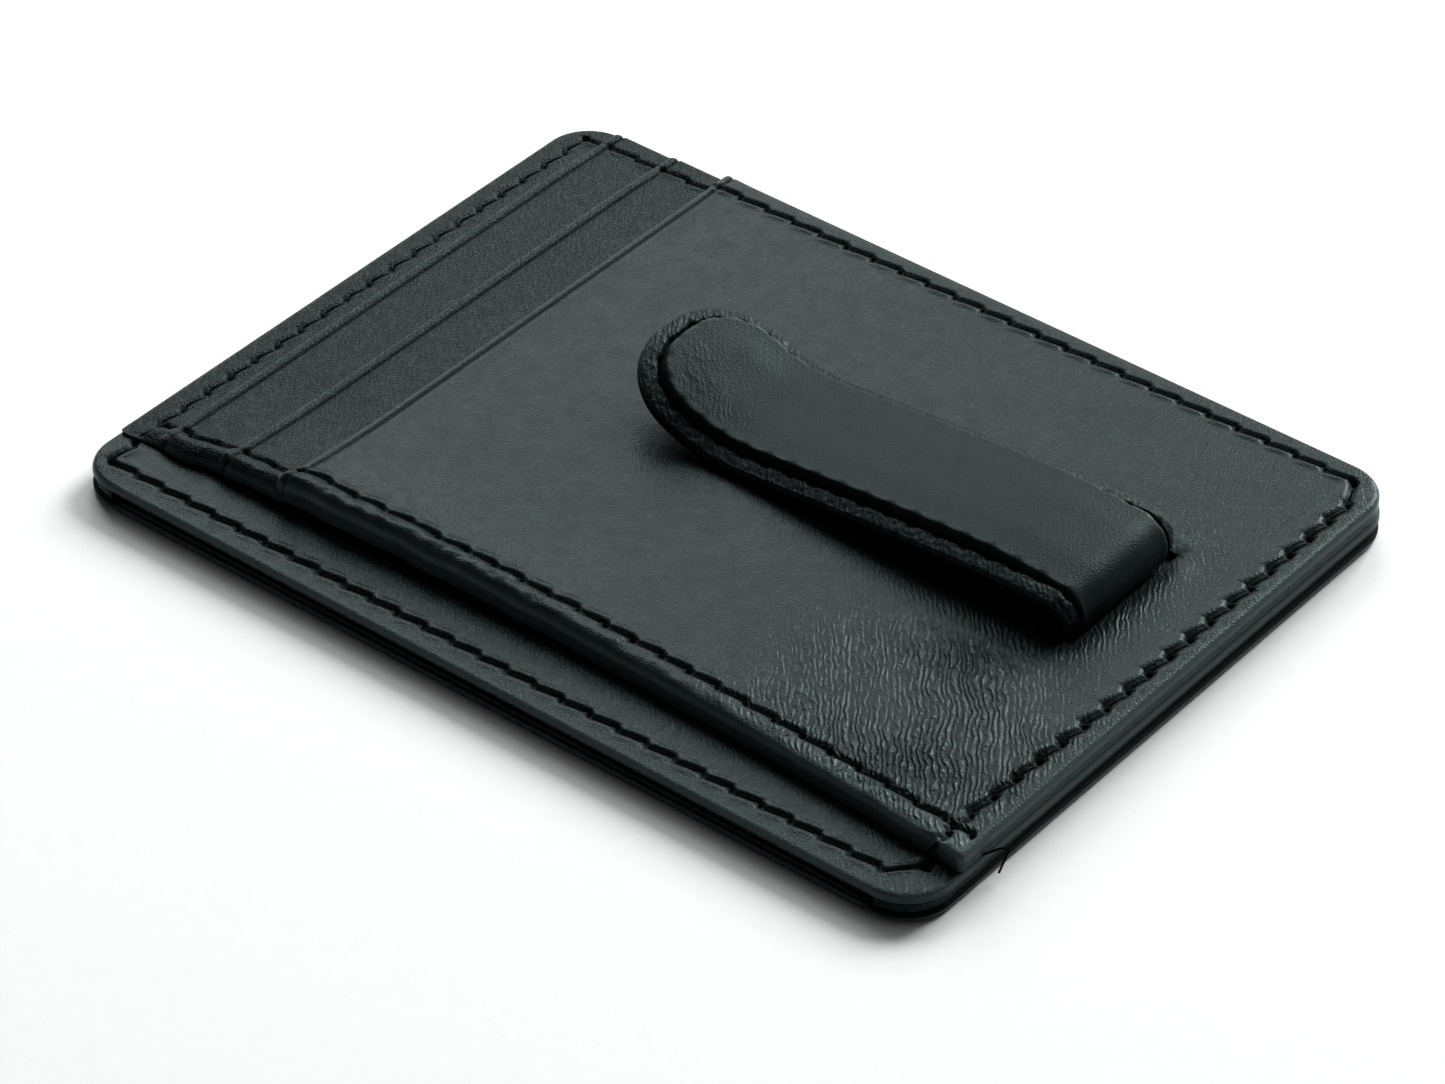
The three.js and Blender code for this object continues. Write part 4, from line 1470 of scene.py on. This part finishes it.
        # The front warp would bend the slit, so the rows behind the hem's seam are put back.
        x0, y0 = solid.x.copy(), solid.y.copy()
        solid.x, solid.y = outline.warp(x0, y0)
        back_part = smooth(y0, outline.front + self.straight_from, near - self.straight_to)
        corner = (x0 > outline.right - p.corner) & (y0 > outline.back - p.corner)
        solid.y = np.where(corner, solid.y, solid.y * (1 - back_part) + y0 * back_part)
        x, y = solid.x, solid.y
        edge = outline.depth(x, y)
        aside = np.maximum(np.maximum(left - x, x - right), 0)
        outside = np.hypot(aside, np.maximum(np.maximum(near - y, y - far), 0))
        offset = p.lift(x, y) + p.puff(x, y) - p.groove(x, y) * smooth(edge, self.calm_from, self.calm_to)
        rise = np.clip(1 - (x - outline.left) / self.mouth_reach, 0, 1) ** 2
        pinned = smooth(y, outline.front, outline.front + self.pinned_to)
        offset = offset + self.mouth_lift / 2 * rise * pinned
        offset = offset - p.crease(x - outline.left)
        drop = round_over(np.maximum(edge, 0), self.panel_round)
        tuck = self.slit_tuck * bell(outside, self.tuck_spread)
        pucker = self.pucker * bell(outside, self.pucker_spread) * ruffle(x, y, self.pucker_size, 5.0)
        sag = self.sag * ruffle(x, y, self.sag_size, 2.0)
        top = high.z + offset - drop - tuck + pucker + sag * smooth(edge, 0, self.sag_from)
        over_board = (x > board_left + step / 2) & (x < board_right - step / 2)
        over_board &= (y < board_back - step / 2) & (y > p.hem_at(x) + self.board_front)
        top = np.where(over_board, np.maximum(top, board_high.z + self.board_cover), top)
        under = np.where(over_board, board_high.z + STEP, low.z + np.maximum(offset, 0))
        under = np.minimum(under, top - self.least)
        piece = solid.shape(top, under, x, y)
        self._shade_panel(piece, solid, outline, edge, outside)
        pierce(piece, self.finishes.cover, self.finishes.hole, p.holes(x, y) * solid.is_top)
        dress(piece, self.finishes.cover, Slot.COVER, Body.WALLET, node)

    def _shade_panel(
        self, piece: bpy.types.Object, solid: GridSolid, outline: Outline, edge: Array, outside: Array
    ) -> None:
        """Marks where the panel's leather is gathered, where it is painted lighter as wear and highlight, and
        where shade is painted in.

        Args:
            piece: The panel.
            solid: The grid that it was shaped from.
            outline: Its outline.
            edge: How deep each vertex lies inside the outline.
            outside: How far each vertex lies from the slit.
        """
        p = self.pattern
        x, y = solid.x, solid.y
        calm = smooth(edge, self.turned_calm, self.turned_rippled) * (1 - pitted(p.groove(x, y)))
        set_attribute(piece, "crinkle", self._crinkle(x, y, edge, outside) * calm)
        # A painted glint at the front right corner, a lighter band along the top of the hem's roll towards
        # the right, a rim that is lighter as wear and painted highlight, and painted highlights on the lips
        # below the right seam's holes.
        glint_x, glint_y, glint_size = self.tab
        tab = bell(np.hypot(x - glint_x, y - glint_y), glint_size)
        flecks = 0.5 * bell(y - p.hem_at(x), self.fleck_width, self.fleck_line)
        flecks *= smooth(x, self.fleck_from, self.fleck_full)
        rim = 0.3 * bell(edge, self.rim_glow) + 0.6 * bell(edge, self.rim_width, self.rim_line)
        lips = 0.9 * p.edge_runs()[-1].lips(x, y) * (y > p.hem_at(x) + p.hem_seam)
        set_attribute(piece, "worn", np.maximum.reduce([rim, 0.8 * tab, flecks, lips]))
        # The crease beside the free edge, the seams and the slit's rim are painted dark as shade.
        line = p.crease(x - outline.left) / p.crease_depth
        pit = np.maximum(pitted(p.groove(x, y)), 0.7 * line)
        set_attribute(piece, "pit", np.maximum(pit, 0.8 * bell(outside, self.slit_shade)))

    def _crinkle(self, x: Array, y: Array, edge: Array, outside: Array) -> Array:
        """Where the panel's leather is gathered: its front right, its hem and round the slit."""
        front_right = smooth(x, self.gather_from, self.gather_full) * (1 - smooth(y, self.gather_back, 0))
        rim, slit = bell(edge, RIM_SPREAD), bell(outside, self.slit_gather)
        patches = sum(weight * bell(np.hypot(x - px, y - py), size) for px, py, size, weight in self.gathers)
        hem = bell(y - self.pattern.hem_at(x), self.pucker_spread)
        hem *= smooth(x, self.hem_from, self.hem_full)
        return np.clip(0.04 + 0.55 * front_right + 0.1 * rim + 0.4 * (slit + hem) + patches, 0, 1.3)

    def build(self) -> None:
        """Makes the stack."""
        order = ["pocket_backing", "pocket_strip_lower", "pocket_strip_upper", "clip_panel"]
        for node, above in zip(order, order[1:]):
            self._thin(node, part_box(above)[0].x)
        self._panel()
        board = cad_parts["clip_board"]
        board.data.materials.clear()
        board.data.materials.append(self.finishes.board)


@dataclass
class Stitching:
    """The threads of every flat seam."""

    pattern: Pattern
    maker: StitchMaker
    # The loose thread end's way: along X and Y, and up.
    loose_end: tuple[tuple[float, float, float], ...] = (
        (49.6 * MM, -28.4 * MM, 3.0 * MM),
        (50.1 * MM, -28.0 * MM, 3.3 * MM),
        (50.9 * MM, -27.0 * MM, 3.7 * MM),
        (51.1 * MM, -26.0 * MM, 3.0 * MM),
        (50.7 * MM, -26.0 * MM, 1.8 * MM),
        (50.9 * MM, -27.2 * MM, 0.9 * MM),
    )

    def _top(self, x: float, y: float) -> float:
        """The height of the uppermost leather before the seams pull it down."""
        p = self.pattern
        ax, ay = np.array([x]), np.array([y])
        if y < float(p.hem_at(ax)[0]):
            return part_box("base_panel")[1].z
        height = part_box("pocket_backing")[1].z
        for node in ("pocket_strip_lower", "pocket_strip_upper", "clip_panel"):
            low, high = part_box(node)
            if x > low.x:
                height = high.z
        return height + float((p.lift(ax, ay) + p.puff(ax, ay))[0])

    def _thread(
        self, name: str, runs: Sequence[SeamRun], height: Callable[[float, float], float], up: int
    ) -> None:
        """Sews the runs of one thread.

        Args:
            name: The thread's name.
            runs: The seams that it sews.
            height: The leather's height at a place.
            up: 1 where it shows from above, and -1 where it shows from below.
        """
        ends = []
        for run in runs:
            for x0, y0, x1, y1 in run.stitches():
                sink = up * (run.sink - self.maker.radius * (0.6 if up > 0 else -0.1))
                middle = height((x0 + x1) / 2, (y0 + y1) / 2) - sink
                ends.append((Vector((x0, y0, middle)), Vector((x1, y1, middle)), Vector((0, 0, up))))
        thread = self.maker.sew(name, ends)
        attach(thread, Body.WALLET.value)
        log.info("%s: %d stitches", name, len(ends))

    def _tail(self, name: str, places: Sequence[tuple[float, float, float]]) -> None:
        """Lays a loose thread end through points.

        Args:
            name: The thread's name.
            places: Its way.
        """
        deselect()
        bpy.ops.curve.primitive_nurbs_path_add()
        tail = bpy.context.active_object
        tail.name = tail.data.name = name
        spline = tail.data.splines[0]
        spline.points.add(len(places) - len(spline.points))
        for point, place in zip(spline.points, places):
            point.co = (*place, 1)
        spline.order_u, spline.use_endpoint_u, spline.resolution_u = 3, True, 8
        tail.data.bevel_depth = 0.6 * self.maker.radius
        tail.data.bevel_resolution, tail.data.use_fill_caps = 2, True
        choose(tail)
        bpy.ops.object.convert(target="MESH")
        bpy.ops.object.shade_smooth()
        tail.data.materials.clear()
        tail.data.materials.append(self.maker.finish)
        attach(tail, Body.WALLET.value)
        log.info("%s: one thread end", name)

    def build(self) -> None:
        """Sews the wallet's flat seams."""
        p = self.pattern
        self._thread("edge_seam_thread", p.edge_runs(), self._top, 1)
        self._thread("mouth_seam_thread", [p.mouth_run()], self._top, 1)
        self._thread("pocket_hem_thread", [p.hem_run()], self._top, 1)
        self._tail("loose_thread_right", self.loose_end)
        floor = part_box("back_cover")[0].z
        self._thread("under_seam_thread", [*p.edge_runs(), p.mouth_run()], lambda x, y: floor, -1)


@dataclass
class SpringClip:
    """The leather-dressed spring: its band's side view, its plan and its cross-section."""

    finishes: Finishes
    maker: StitchMaker
    centre_y: float = 7.3 * MM
    bend_radius: float = 2.1 * MM
    steel_half: float = 0.25 * MM
    pad: float = 0.4 * MM
    loft: float = 0.38 * MM
    leather: float = 0.6 * MM
    under: float = 0.5 * MM
    bend_x: float = 36.85 * MM
    bend_z: float = 6.25 * MM
    dip_x: float = 0.6 * MM
    dip_z: float = 5.95 * MM
    tip_x: float = -14.3 * MM
    tip_rise: float = 4.8 * MM
    tip_angle: float = 24
    tip_radius: float = 8 * MM
    half: float = 9 * MM
    foot_narrowing: float = 0.7 * MM
    seam: float = 2.2 * MM
    pad_taper: float = 8 * MM
    dome: float = 0.18 * MM
    stitch_depth: float = 1.84 * MM
    pitch: float = 2.9 * MM
    spacing: float = 0.5 * MM
    fine_rim: float = 2.9 * MM
    flange: float = 1.5 * MM
    top_start_deg: float = 39
    under_start_deg: float = 30
    blend_ahead: float = 3 * MM
    blend_reach: tuple[float, float, float] = (-0.63 * MM, 0, 2.1 * MM)
    # Depths in from the edge where a section turns: the upper leather's outer face, its inner
    # face over the pad, the lower leather's face under the steel, and its outer face.
    crown_turns: tuple[float, ...] = (
        0.25 * MM, 1.55 * MM, 1.76 * MM, 1.92 * MM, 2.12 * MM, 2.36 * MM, 6.5 * MM,
    )
    pad_turns: tuple[float, ...] = (1.9 * MM, 2.3 * MM, 3 * MM)
    steel_turns: tuple[float, ...] = (1.6 * MM, 2.05 * MM, 3 * MM)
    under_turns: tuple[float, ...] = (0.3 * MM, 1.6 * MM, 2.2 * MM, 3 * MM)
    hole_size: float = 0.47 * MM
    hole_sink: float = 0.3 * MM
    hole_rim: float = 1.98 * MM
    least: float = 0.15 * MM
    grain: float = 0.08 * MM
    grain_size: float = 0.8 * MM
    grain_band: float = 1.75 * MM
    fold: float = 0.05 * MM
    fold_size: float = 1.2 * MM
    fold_place: float = 9 * MM
    fold_spread: float = 5 * MM
    fold_depths: tuple[float, float, float, float] = (2.5 * MM, 4 * MM, 5 * MM, 8 * MM)
    flange_from: float = 1.7 * MM
    flange_to: float = 2.1 * MM
    ridge: float = 2.28 * MM
    ridge_width: float = 0.16 * MM
    rim_width: float = 0.3 * MM
    channel_width: float = 0.17 * MM
    pad_gap: float = 0.05 * MM
    pad_start: float = 0.4 * MM
    pad_spacing: float = 1.2 * MM
    pad_least: float = 0.06 * MM
    skin: float = 0.01 * MM
    bulge: float = 0.5 * MM
    droop: float = 0.5 * MM
    line: Array = field(init=False)

    def __post_init__(self) -> None:
        """Samples the band's centre line: distance, x, z and its outward normal."""
        turn = np.linspace(-math.pi / 2, math.pi / 2, 181)
        bend_x = self.bend_x + self.bend_radius * np.cos(turn)
        bend_z = self.bend_z + self.bend_radius * np.sin(turn)
        bend = np.stack([bend_x, bend_z], 1)
        rise = math.radians(self.tip_angle)
        heading = np.array([-math.cos(rise), math.sin(rise)])
        tip = np.array([self.tip_x, self.dip_z + self.tip_rise])
        tip_start = tip - heading * self.tip_radius
        top = np.array([self.bend_x, self.bend_z + self.bend_radius])
        dip = np.array([self.dip_x, self.dip_z])
        run, flare = self.bend_x - self.dip_x, self.dip_x - tip_start[0]
        back = np.array([-1.0, 0.0])
        slope = self._curve(top, top + back * run * 0.38, dip - back * run * 0.1, dip)
        kick = self._curve(dip, dip + back * flare * 0.3, tip_start - heading * flare * 0.45, tip_start)
        straight_tip = tip_start + heading * np.linspace(0, self.tip_radius * 1.02, 60)[:, None]
        points = np.concatenate([bend, slope[1:], kick[1:], straight_tip[1:]])
        steps = np.hypot(*np.diff(points, axis=0).T)
        distance = np.concatenate([[0], np.cumsum(steps)])
        tangent = np.gradient(points, distance, axis=0)
        tangent /= np.hypot(*tangent.T)[:, None]
        self.line = np.stack([distance, points[:, 0], points[:, 1], tangent[:, 1], -tangent[:, 0]], 1)
        self.bend_end = math.pi * self.bend_radius
        self.tip = distance[-1] - self.tip_radius * 0.02

    @staticmethod
    def _curve(a: Array, b: Array, c: Array, d: Array) -> Array:
        """Samples a cubic between a and d with handles b and c."""
        t = np.linspace(0, 1, 200)[:, None]
        return (1 - t) ** 3 * a + 3 * t * (1 - t) ** 2 * b + 3 * t * t * (1 - t) * c + t**3 * d

    def point(self, along: Array, y: Array, offset: Array) -> Array:
        """Finds points on the band.

        Args:
            along: Distance along the centre line from the start of the bend.
            y: Distance to the side of the centre line.
            offset: Distance out along the normal.

        Returns:
            Rows of x, y and z.
        """
        x, z, nx, nz = (np.interp(along, self.line[:, 0], self.line[:, k]) for k in (1, 2, 3, 4))
        return np.stack([x + nx * offset, self.centre_y + y, z + nz * offset], 1)

    def half_at(self, along: Array) -> Array:
        """Half the band's width."""
        return self.half - self.foot_narrowing * np.clip((self.bend_end - along) / self.bend_end, 0, 1)

    def pad_at(self, along: Array) -> Array:
        """The pad's thickness, skived thin at the bend."""
        share = np.clip((along - self.bend_end) / self.pad_taper, 0, 1)
        round_bend = smooth(along, 0.2 * self.bend_end, self.bend_end + self.pad_taper)
        return self.pad * share + self.loft * round_bend

    def _plan(self, along: Array, side: Array) -> tuple[Array, Array, Array]:
        """Rounds the tip's corners.

        Args:
            along: Distance along the band.
            side: Distance to the side, as if the band were half wide all along.

        Returns:
            The new distance along, the new distance to the side and the depth inside the edge.
        """
        r, corner = self.tip_radius, self.half - self.tip_radius
        u = (along - (self.tip - r)) / r
        v = (np.abs(side) - corner) / r
        inside = (u > 0) & (v > 0)
        new_u = u * np.sqrt(np.maximum(1 - v * v / 2, 0))
        new_v = v * np.sqrt(np.maximum(1 - u * u / 2, 0))
        new_along = np.where(inside, self.tip - r + r * new_u, along)
        new_side = np.where(inside, np.sign(side) * (corner + r * new_v), side)
        depth = np.minimum(self.half - np.abs(side), self.tip - along)
        depth = np.where(inside, r - r * np.hypot(new_u, new_v), depth)
        return new_along, new_side * self.half_at(new_along) / self.half, depth

    def _profile(self, depth: Array, stops: Sequence[tuple[float, Array | float]]) -> Array:
        """Eases between heights given at depths in from the edge."""
        height = np.broadcast_to(stops[0][1], depth.shape).astype(float).copy()
        for (d0, h0), (d1, h1) in zip(stops, stops[1:]):
            share = np.clip((depth - d0) / (d1 - d0), 0, 1)
            share = share * share * (3 - 2 * share)
            reached = depth > d0
            height = np.where(reached, h0 + (h1 - h0) * share, height)
        return height

    def _droop(self, depth: Array) -> Array:
        """How far the sewn flange hangs outside its stitches."""
        return self.droop * np.clip(1 - depth / self.flange, 0, 1) ** 1.4

    def _seam_path(self) -> list[tuple[float, float]]:
        """The clip's seam in the flat plan, from the near root round the tip to the far root."""
        root = self.bend_end * 0.4
        d, r = self.stitch_depth, self.tip_radius - self.stitch_depth
        corner = self.half - self.tip_radius
        near = [(s, -(self.half - d)) for s in np.linspace(root, self.tip - self.tip_radius, 200)]
        turn = [
            (self.tip - self.tip_radius + r * math.sin(a), -(corner + r * math.cos(a)))
            for a in np.linspace(0, math.pi / 2, 60)
        ]
        half = near + turn[1:]
        return half + [(s, -y) for s, y in reversed(half)]

    def _stitch_ends(self) -> list[tuple[float, float]]:
        """Even places along the clip's seam."""
        path = np.array(self._seam_path())
        reach = np.concatenate([[0], np.cumsum(np.hypot(*np.diff(path, axis=0).T))])
        places = np.linspace(0, reach[-1], round(reach[-1] / self.pitch) + 1)
        return list(zip(np.interp(places, reach, path[:, 0]), np.interp(places, reach, path[:, 1])))

    def _holes(self, along: Array, side: Array, holes: Sequence[tuple[float, float]], reach: float) -> Array:
        """How near each point is to a stitch hole, from 0 to 1."""
        near = np.zeros(len(along))
        for s, y in holes:
            near = np.maximum(near, np.exp(-(((along - s) ** 2 + (side - y) ** 2) / reach**2)))
        return near

    def _grid(self, name: str, start: float, upper: bool) -> tuple[GridSolid, Array, Array, Array]:
        """Lays out the grid of a leather on the band."""
        xs = crowded_lines(start, self.tip, self.spacing, (), [start, self.tip])
        ys = crowded_lines(-self.half, self.half, self.spacing, (), [-self.half, self.half])
        solid = GridSolid(name, xs, ys)
        rim = self.half - self.fine_rim
        solid.refine(lambda s, y: (np.abs(y) > rim) | (s > self.tip - self.tip_radius), 2, upper)
        along, side, depth = self._plan(solid.x, solid.y)
        return solid, along, side, depth

    def _edge_faces(self, solid: GridSolid) -> None:
        """Gives the cut edge its dye."""
        mesh = solid.piece.data
        mesh.materials.append(self.finishes.clip)
        mesh.materials.append(self.finishes.edge)
        top = solid.is_top
        for face in mesh.polygons:
            levels = {bool(top[i]) for i in face.vertices}
            face.material_index = 1 if len(levels) == 2 else 0

    def _place(self, solid: GridSolid, along: Array, side: Array, top: Array, bottom: Array) -> None:
        """Sets a solid's vertices on the band."""
        points = self.point(along, side, np.where(solid.is_top, top, bottom))
        move_points(solid.piece, points)
        with editing(solid.piece):
            bpy.ops.mesh.normals_make_consistent(inside=False)
        choose(solid.piece)
        bpy.ops.object.shade_smooth_by_angle(angle=math.radians(50))

    def _blend(self, piece: bpy.types.Object) -> None:
        """Bakes a leather's transform into its mesh."""
        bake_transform(piece)

    def _top_leather(self) -> None:
        """The upper leather: a sewn flange, a groove and a crown over the pad."""
        start = self.bend_radius * math.radians(self.top_start_deg)
        solid, along, side, depth = self._grid("clip_top_leather", start, True)
        over = self.steel_half + self.pad_at(along)
        crown = over + self.leather
        holes = self._stitch_ends()
        hole = self._holes(along, side, holes, self.hole_size)
        groove = self.leather * 0.4
        shoulder = groove + (crown - groove) * 0.93
        levels = (self.leather, self.leather * 1.05, groove, groove, shoulder, crown, crown + self.dome)
        top = self._profile(depth, [(0, self.leather * 0.6), *zip(self.crown_turns, levels)])
        rough = ruffle(along, side, self.grain_size, 8.0)
        rough += 0.7 * ruffle(along, side, self.grain_size / 2, 9.0)
        grain = self.grain * rough * bell(depth, self.grain_band, power=6)
        first, second, third, last = self.fold_depths
        tip_fold = bell(self.tip - along, self.fold_spread, self.fold_place) * (side < 0)
        tip_fold *= smooth(depth, first, second) * (1 - smooth(depth, third, last))
        fold = self.fold * tip_fold * ruffle(along, side * 2, self.fold_size, 4.0)
        droop = self._droop(depth)
        top = top - self.hole_sink * hole + grain + fold - droop
        bottom = self._profile(depth, [(0, 0), *zip(self.pad_turns, (0, over, over))]) - droop
        self._edge_faces(solid)
        self._place(solid, along, side, top, np.minimum(bottom, top - self.least))
        piece = solid.piece
        # The stitch holes' bottoms get the near-black finish that paints their shade.
        piece.data.materials.append(self.finishes.hole)
        deep = hole * solid.is_top * (depth < self.hole_rim)
        for face in piece.data.polygons:
            if sum(deep[i] for i in face.vertices) > 0.6 * len(face.vertices):
                face.material_index = 2
        flange = 1 - smooth(depth, self.flange_from, self.flange_to)
        set_attribute(piece, "crinkle", np.clip(0.15 + 1.2 * flange + 0.7 * tip_fold, 0, 1.3))
        # A painted highlight line along the crown's shoulder, wear on the flange towards the bend, and a
        # lighter band along the outer rim.
        ridge = bell(depth, self.ridge_width, self.ridge)
        toward_bend = 1 - smooth(along, 0.3 * self.tip, 0.6 * self.tip)
        chafed = flange * np.clip(0.25 + 1.1 * rough, 0, 1) * toward_bend
        rim = 0.4 * bell(depth, self.rim_width)
        set_attribute(piece, "worn", np.clip(0.9 * ridge + 0.6 * chafed + rim, 0, 1))
        # The stitch channel and the holes are painted dark as shade.
        channel = bell(depth, self.channel_width, self.stitch_depth, 4)
        set_attribute(piece, "pit", np.clip(0.6 * channel + 0.9 * hole, 0, 1))
        self._blend(piece)
        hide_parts("clip_cover_foot", "clip_cover_arm")
        log.info("%s: %d faces", piece.name, len(piece.data.polygons))

    def _under_leather(self) -> None:
        """The lower leather, sewn to the upper one outside the steel."""
        start = self.bend_radius * math.radians(self.under_start_deg)
        solid, along, side, depth = self._grid("clip_under_leather", start, False)
        sunk = -self.steel_half
        top = self._profile(depth, [(0, 0), *zip(self.steel_turns, (0, sunk, sunk))])
        levels = (-self.under, -self.under, sunk - self.under, sunk - self.under)
        bottom = self._profile(depth, [(0, -self.under * 0.6), *zip(self.under_turns, levels)])
        droop = self._droop(depth)
        self._edge_faces(solid)
        self._place(solid, along, side, top - self.skin - droop, bottom - droop)
        piece = solid.piece
        set_attribute(piece, "crinkle", np.full(len(along), 0.2))
        set_attribute(piece, "worn", np.zeros(len(along)))
        self._blend(piece)
        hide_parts("clip_lining_foot", "clip_lining_arm")
        log.info("%s: %d faces", piece.name, len(piece.data.polygons))

    def _foam(self) -> None:
        """The thin pad over the steel."""
        inset = self.seam + self.pad_gap
        xs = crowded_lines(self.bend_end + self.pad_start, self.tip - inset, self.pad_spacing)
        ys = crowded_lines(-self.half + inset, self.half - inset, self.pad_spacing)
        solid = GridSolid("clip_foam_pad", xs, ys)
        r, corner = self.tip_radius - inset, self.half - self.tip_radius
        u = (solid.x - (self.tip - self.tip_radius)) / r
        v = (np.abs(solid.y) - corner) / r
        inside = (u > 0) & (v > 0)
        round_u = r * u * np.sqrt(np.maximum(1 - v * v / 2, 0))
        round_v = r * v * np.sqrt(np.maximum(1 - u * u / 2, 0))
        along = np.where(inside, self.tip - self.tip_radius + round_u, solid.x)
        side = np.where(inside, np.sign(solid.y) * (corner + round_v), solid.y)
        top = self.steel_half + np.maximum(self.pad_at(along), self.pad_least) - STEP
        bottom = np.full(len(along), self.steel_half + self.skin)
        self._place(solid, along, side, top, bottom)
        dress(solid.piece, self.finishes.foam, Slot.FOAM, Body.ARM, "clip_pad")

    def _thread(self, name: str, upper: bool) -> None:
        """Sews the clip's seam on one face."""
        holes = self._stitch_ends()
        level = self.leather * 0.4 if upper else -self.under
        outside = level + self.bulge if upper else level - self.bulge
        ends = []
        for (s0, y0), (s1, y1) in zip(holes, holes[1:]):
            a, b = self._on_face(s0, y0, level), self._on_face(s1, y1, level)
            middle = self._on_face((s0 + s1) / 2, (y0 + y1) / 2, outside)
            out = (middle - (a + b) / 2).normalized()
            inset = (b - a) * 0.1
            ends.append((a + inset, b - inset, out))
        thread = self.maker.sew(name, ends)
        self._blend(thread)
        log.info("%s: %d stitches", name, len(ends))

    def _on_face(self, along: float, side: float, level: float) -> Vector:
        """One point at a level off the steel's middle."""
        scale = float(self.half_at(np.array([along]))[0]) / self.half
        return Vector(self.point(np.array([along]), np.array([side * scale]), np.array([level]))[0])

    def build(self) -> None:
        """Makes the clip's leathers, pad and thread."""
        self._top_leather()
        self._under_leather()
        self._foam()
        self._thread("clip_seam_thread", True)
        self._thread("clip_under_thread", False)
        for node in ("spring_foot", "spring_arm"):
            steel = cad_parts[node]
            steel.data.materials.clear()
            steel.data.materials.append(self.finishes.steel)


@dataclass
class Studio:
    """A pale floor, soft light and the camera."""

    finishes: Finishes
    azimuth: float = 37.577
    elevation: float = 37.936
    roll: float = 1.362
    distance: float = 535.297 * MM
    target: tuple[float, float, float] = (2.456 * MM, -4.914 * MM, 0.0)
    focal_px: float = 5700
    image_px: float = 1445
    sensor_mm: float = 36
    light_colour: tuple[float, float, float] = (0.965, 1.0, 0.993)

    def _camera(self) -> None:
        """Sets the camera where the photograph was taken from."""
        a, e, r = (math.radians(v) for v in (self.azimuth, self.elevation, self.roll))
        back = Vector((math.sin(a) * math.cos(e), -math.cos(a) * math.cos(e), math.sin(e)))
        right = Vector((math.cos(a), math.sin(a), 0))
        up = back.cross(right)
        right, up = right * math.cos(r) + up * math.sin(r), up * math.cos(r) - right * math.sin(r)
        data = bpy.data.cameras.new("photo_camera")
        data.sensor_width = self.sensor_mm
        data.lens = self.focal_px / self.image_px * self.sensor_mm
        data.clip_start, data.clip_end = 0.01, 20
        camera = bpy.data.objects.new("photo_camera", data)
        bpy.context.collection.objects.link(camera)
        place = Vector(self.target) + back * self.distance
        camera.matrix_world = Matrix.Translation(place) @ Matrix((right, up, back)).transposed().to_4x4()
        bpy.context.scene.camera = camera

    def _light(self, name: str, place: tuple[float, float, float], size: float, power: float) -> None:
        """Hangs a soft square light that faces the wallet."""
        data = bpy.data.lights.new(name, "AREA")
        data.size, data.energy = size, power
        data.color = self.light_colour
        lamp = bpy.data.objects.new(name, data)
        lamp.location = place
        lamp.rotation_euler = (-Vector(place)).to_track_quat("-Z", "Y").to_euler()
        bpy.context.collection.objects.link(lamp)

    def build(self) -> None:
        """Makes the studio."""
        deselect()
        bpy.ops.mesh.primitive_plane_add(size=6)
        floor = bpy.context.active_object
        floor.name = "floor"
        floor.data.materials.append(self.finishes.floor)
        world = bpy.data.worlds.new("studio_world")
        world.use_nodes = True
        world.node_tree.nodes["Background"].inputs[0].default_value = (1, 1, 1, 1)
        world.node_tree.nodes["Background"].inputs[1].default_value = 0.035
        bpy.context.scene.world = world
        # The photograph is a bright product shot with a burnt-out ground, so highlights aren't rolled off.
        bpy.context.scene.view_settings.view_transform = "Standard"
        self._light("softbox_glance", (-0.74, 0.7, 0.75), 0.8, 10.5)
        self._light("softbox_back", (0.02, 1.02, 0.62), 0.6, 20)
        self._light("softbox_top", (0.0, 0.35, 1.15), 0.7, 1.4)
        self._camera()


def main() -> None:
    """Builds the wallet and its studio."""
    logging.basicConfig(level=logging.INFO, format="%(message)s")
    finishes = Finishes()
    pattern = Pattern()
    maker = StitchMaker(finishes.thread)
    Half(pattern, finishes, "back_cover", "back_lining", upper=False).build()
    Half(pattern, finishes, "base_panel", "front_lining", upper=True).build()
    PocketStack(pattern, finishes).build()
    Stitching(pattern, maker).build()
    SpringClip(finishes, maker).build()
    maker.clear()
    Studio(finishes).build()


if __name__ == "__main__":
    main()
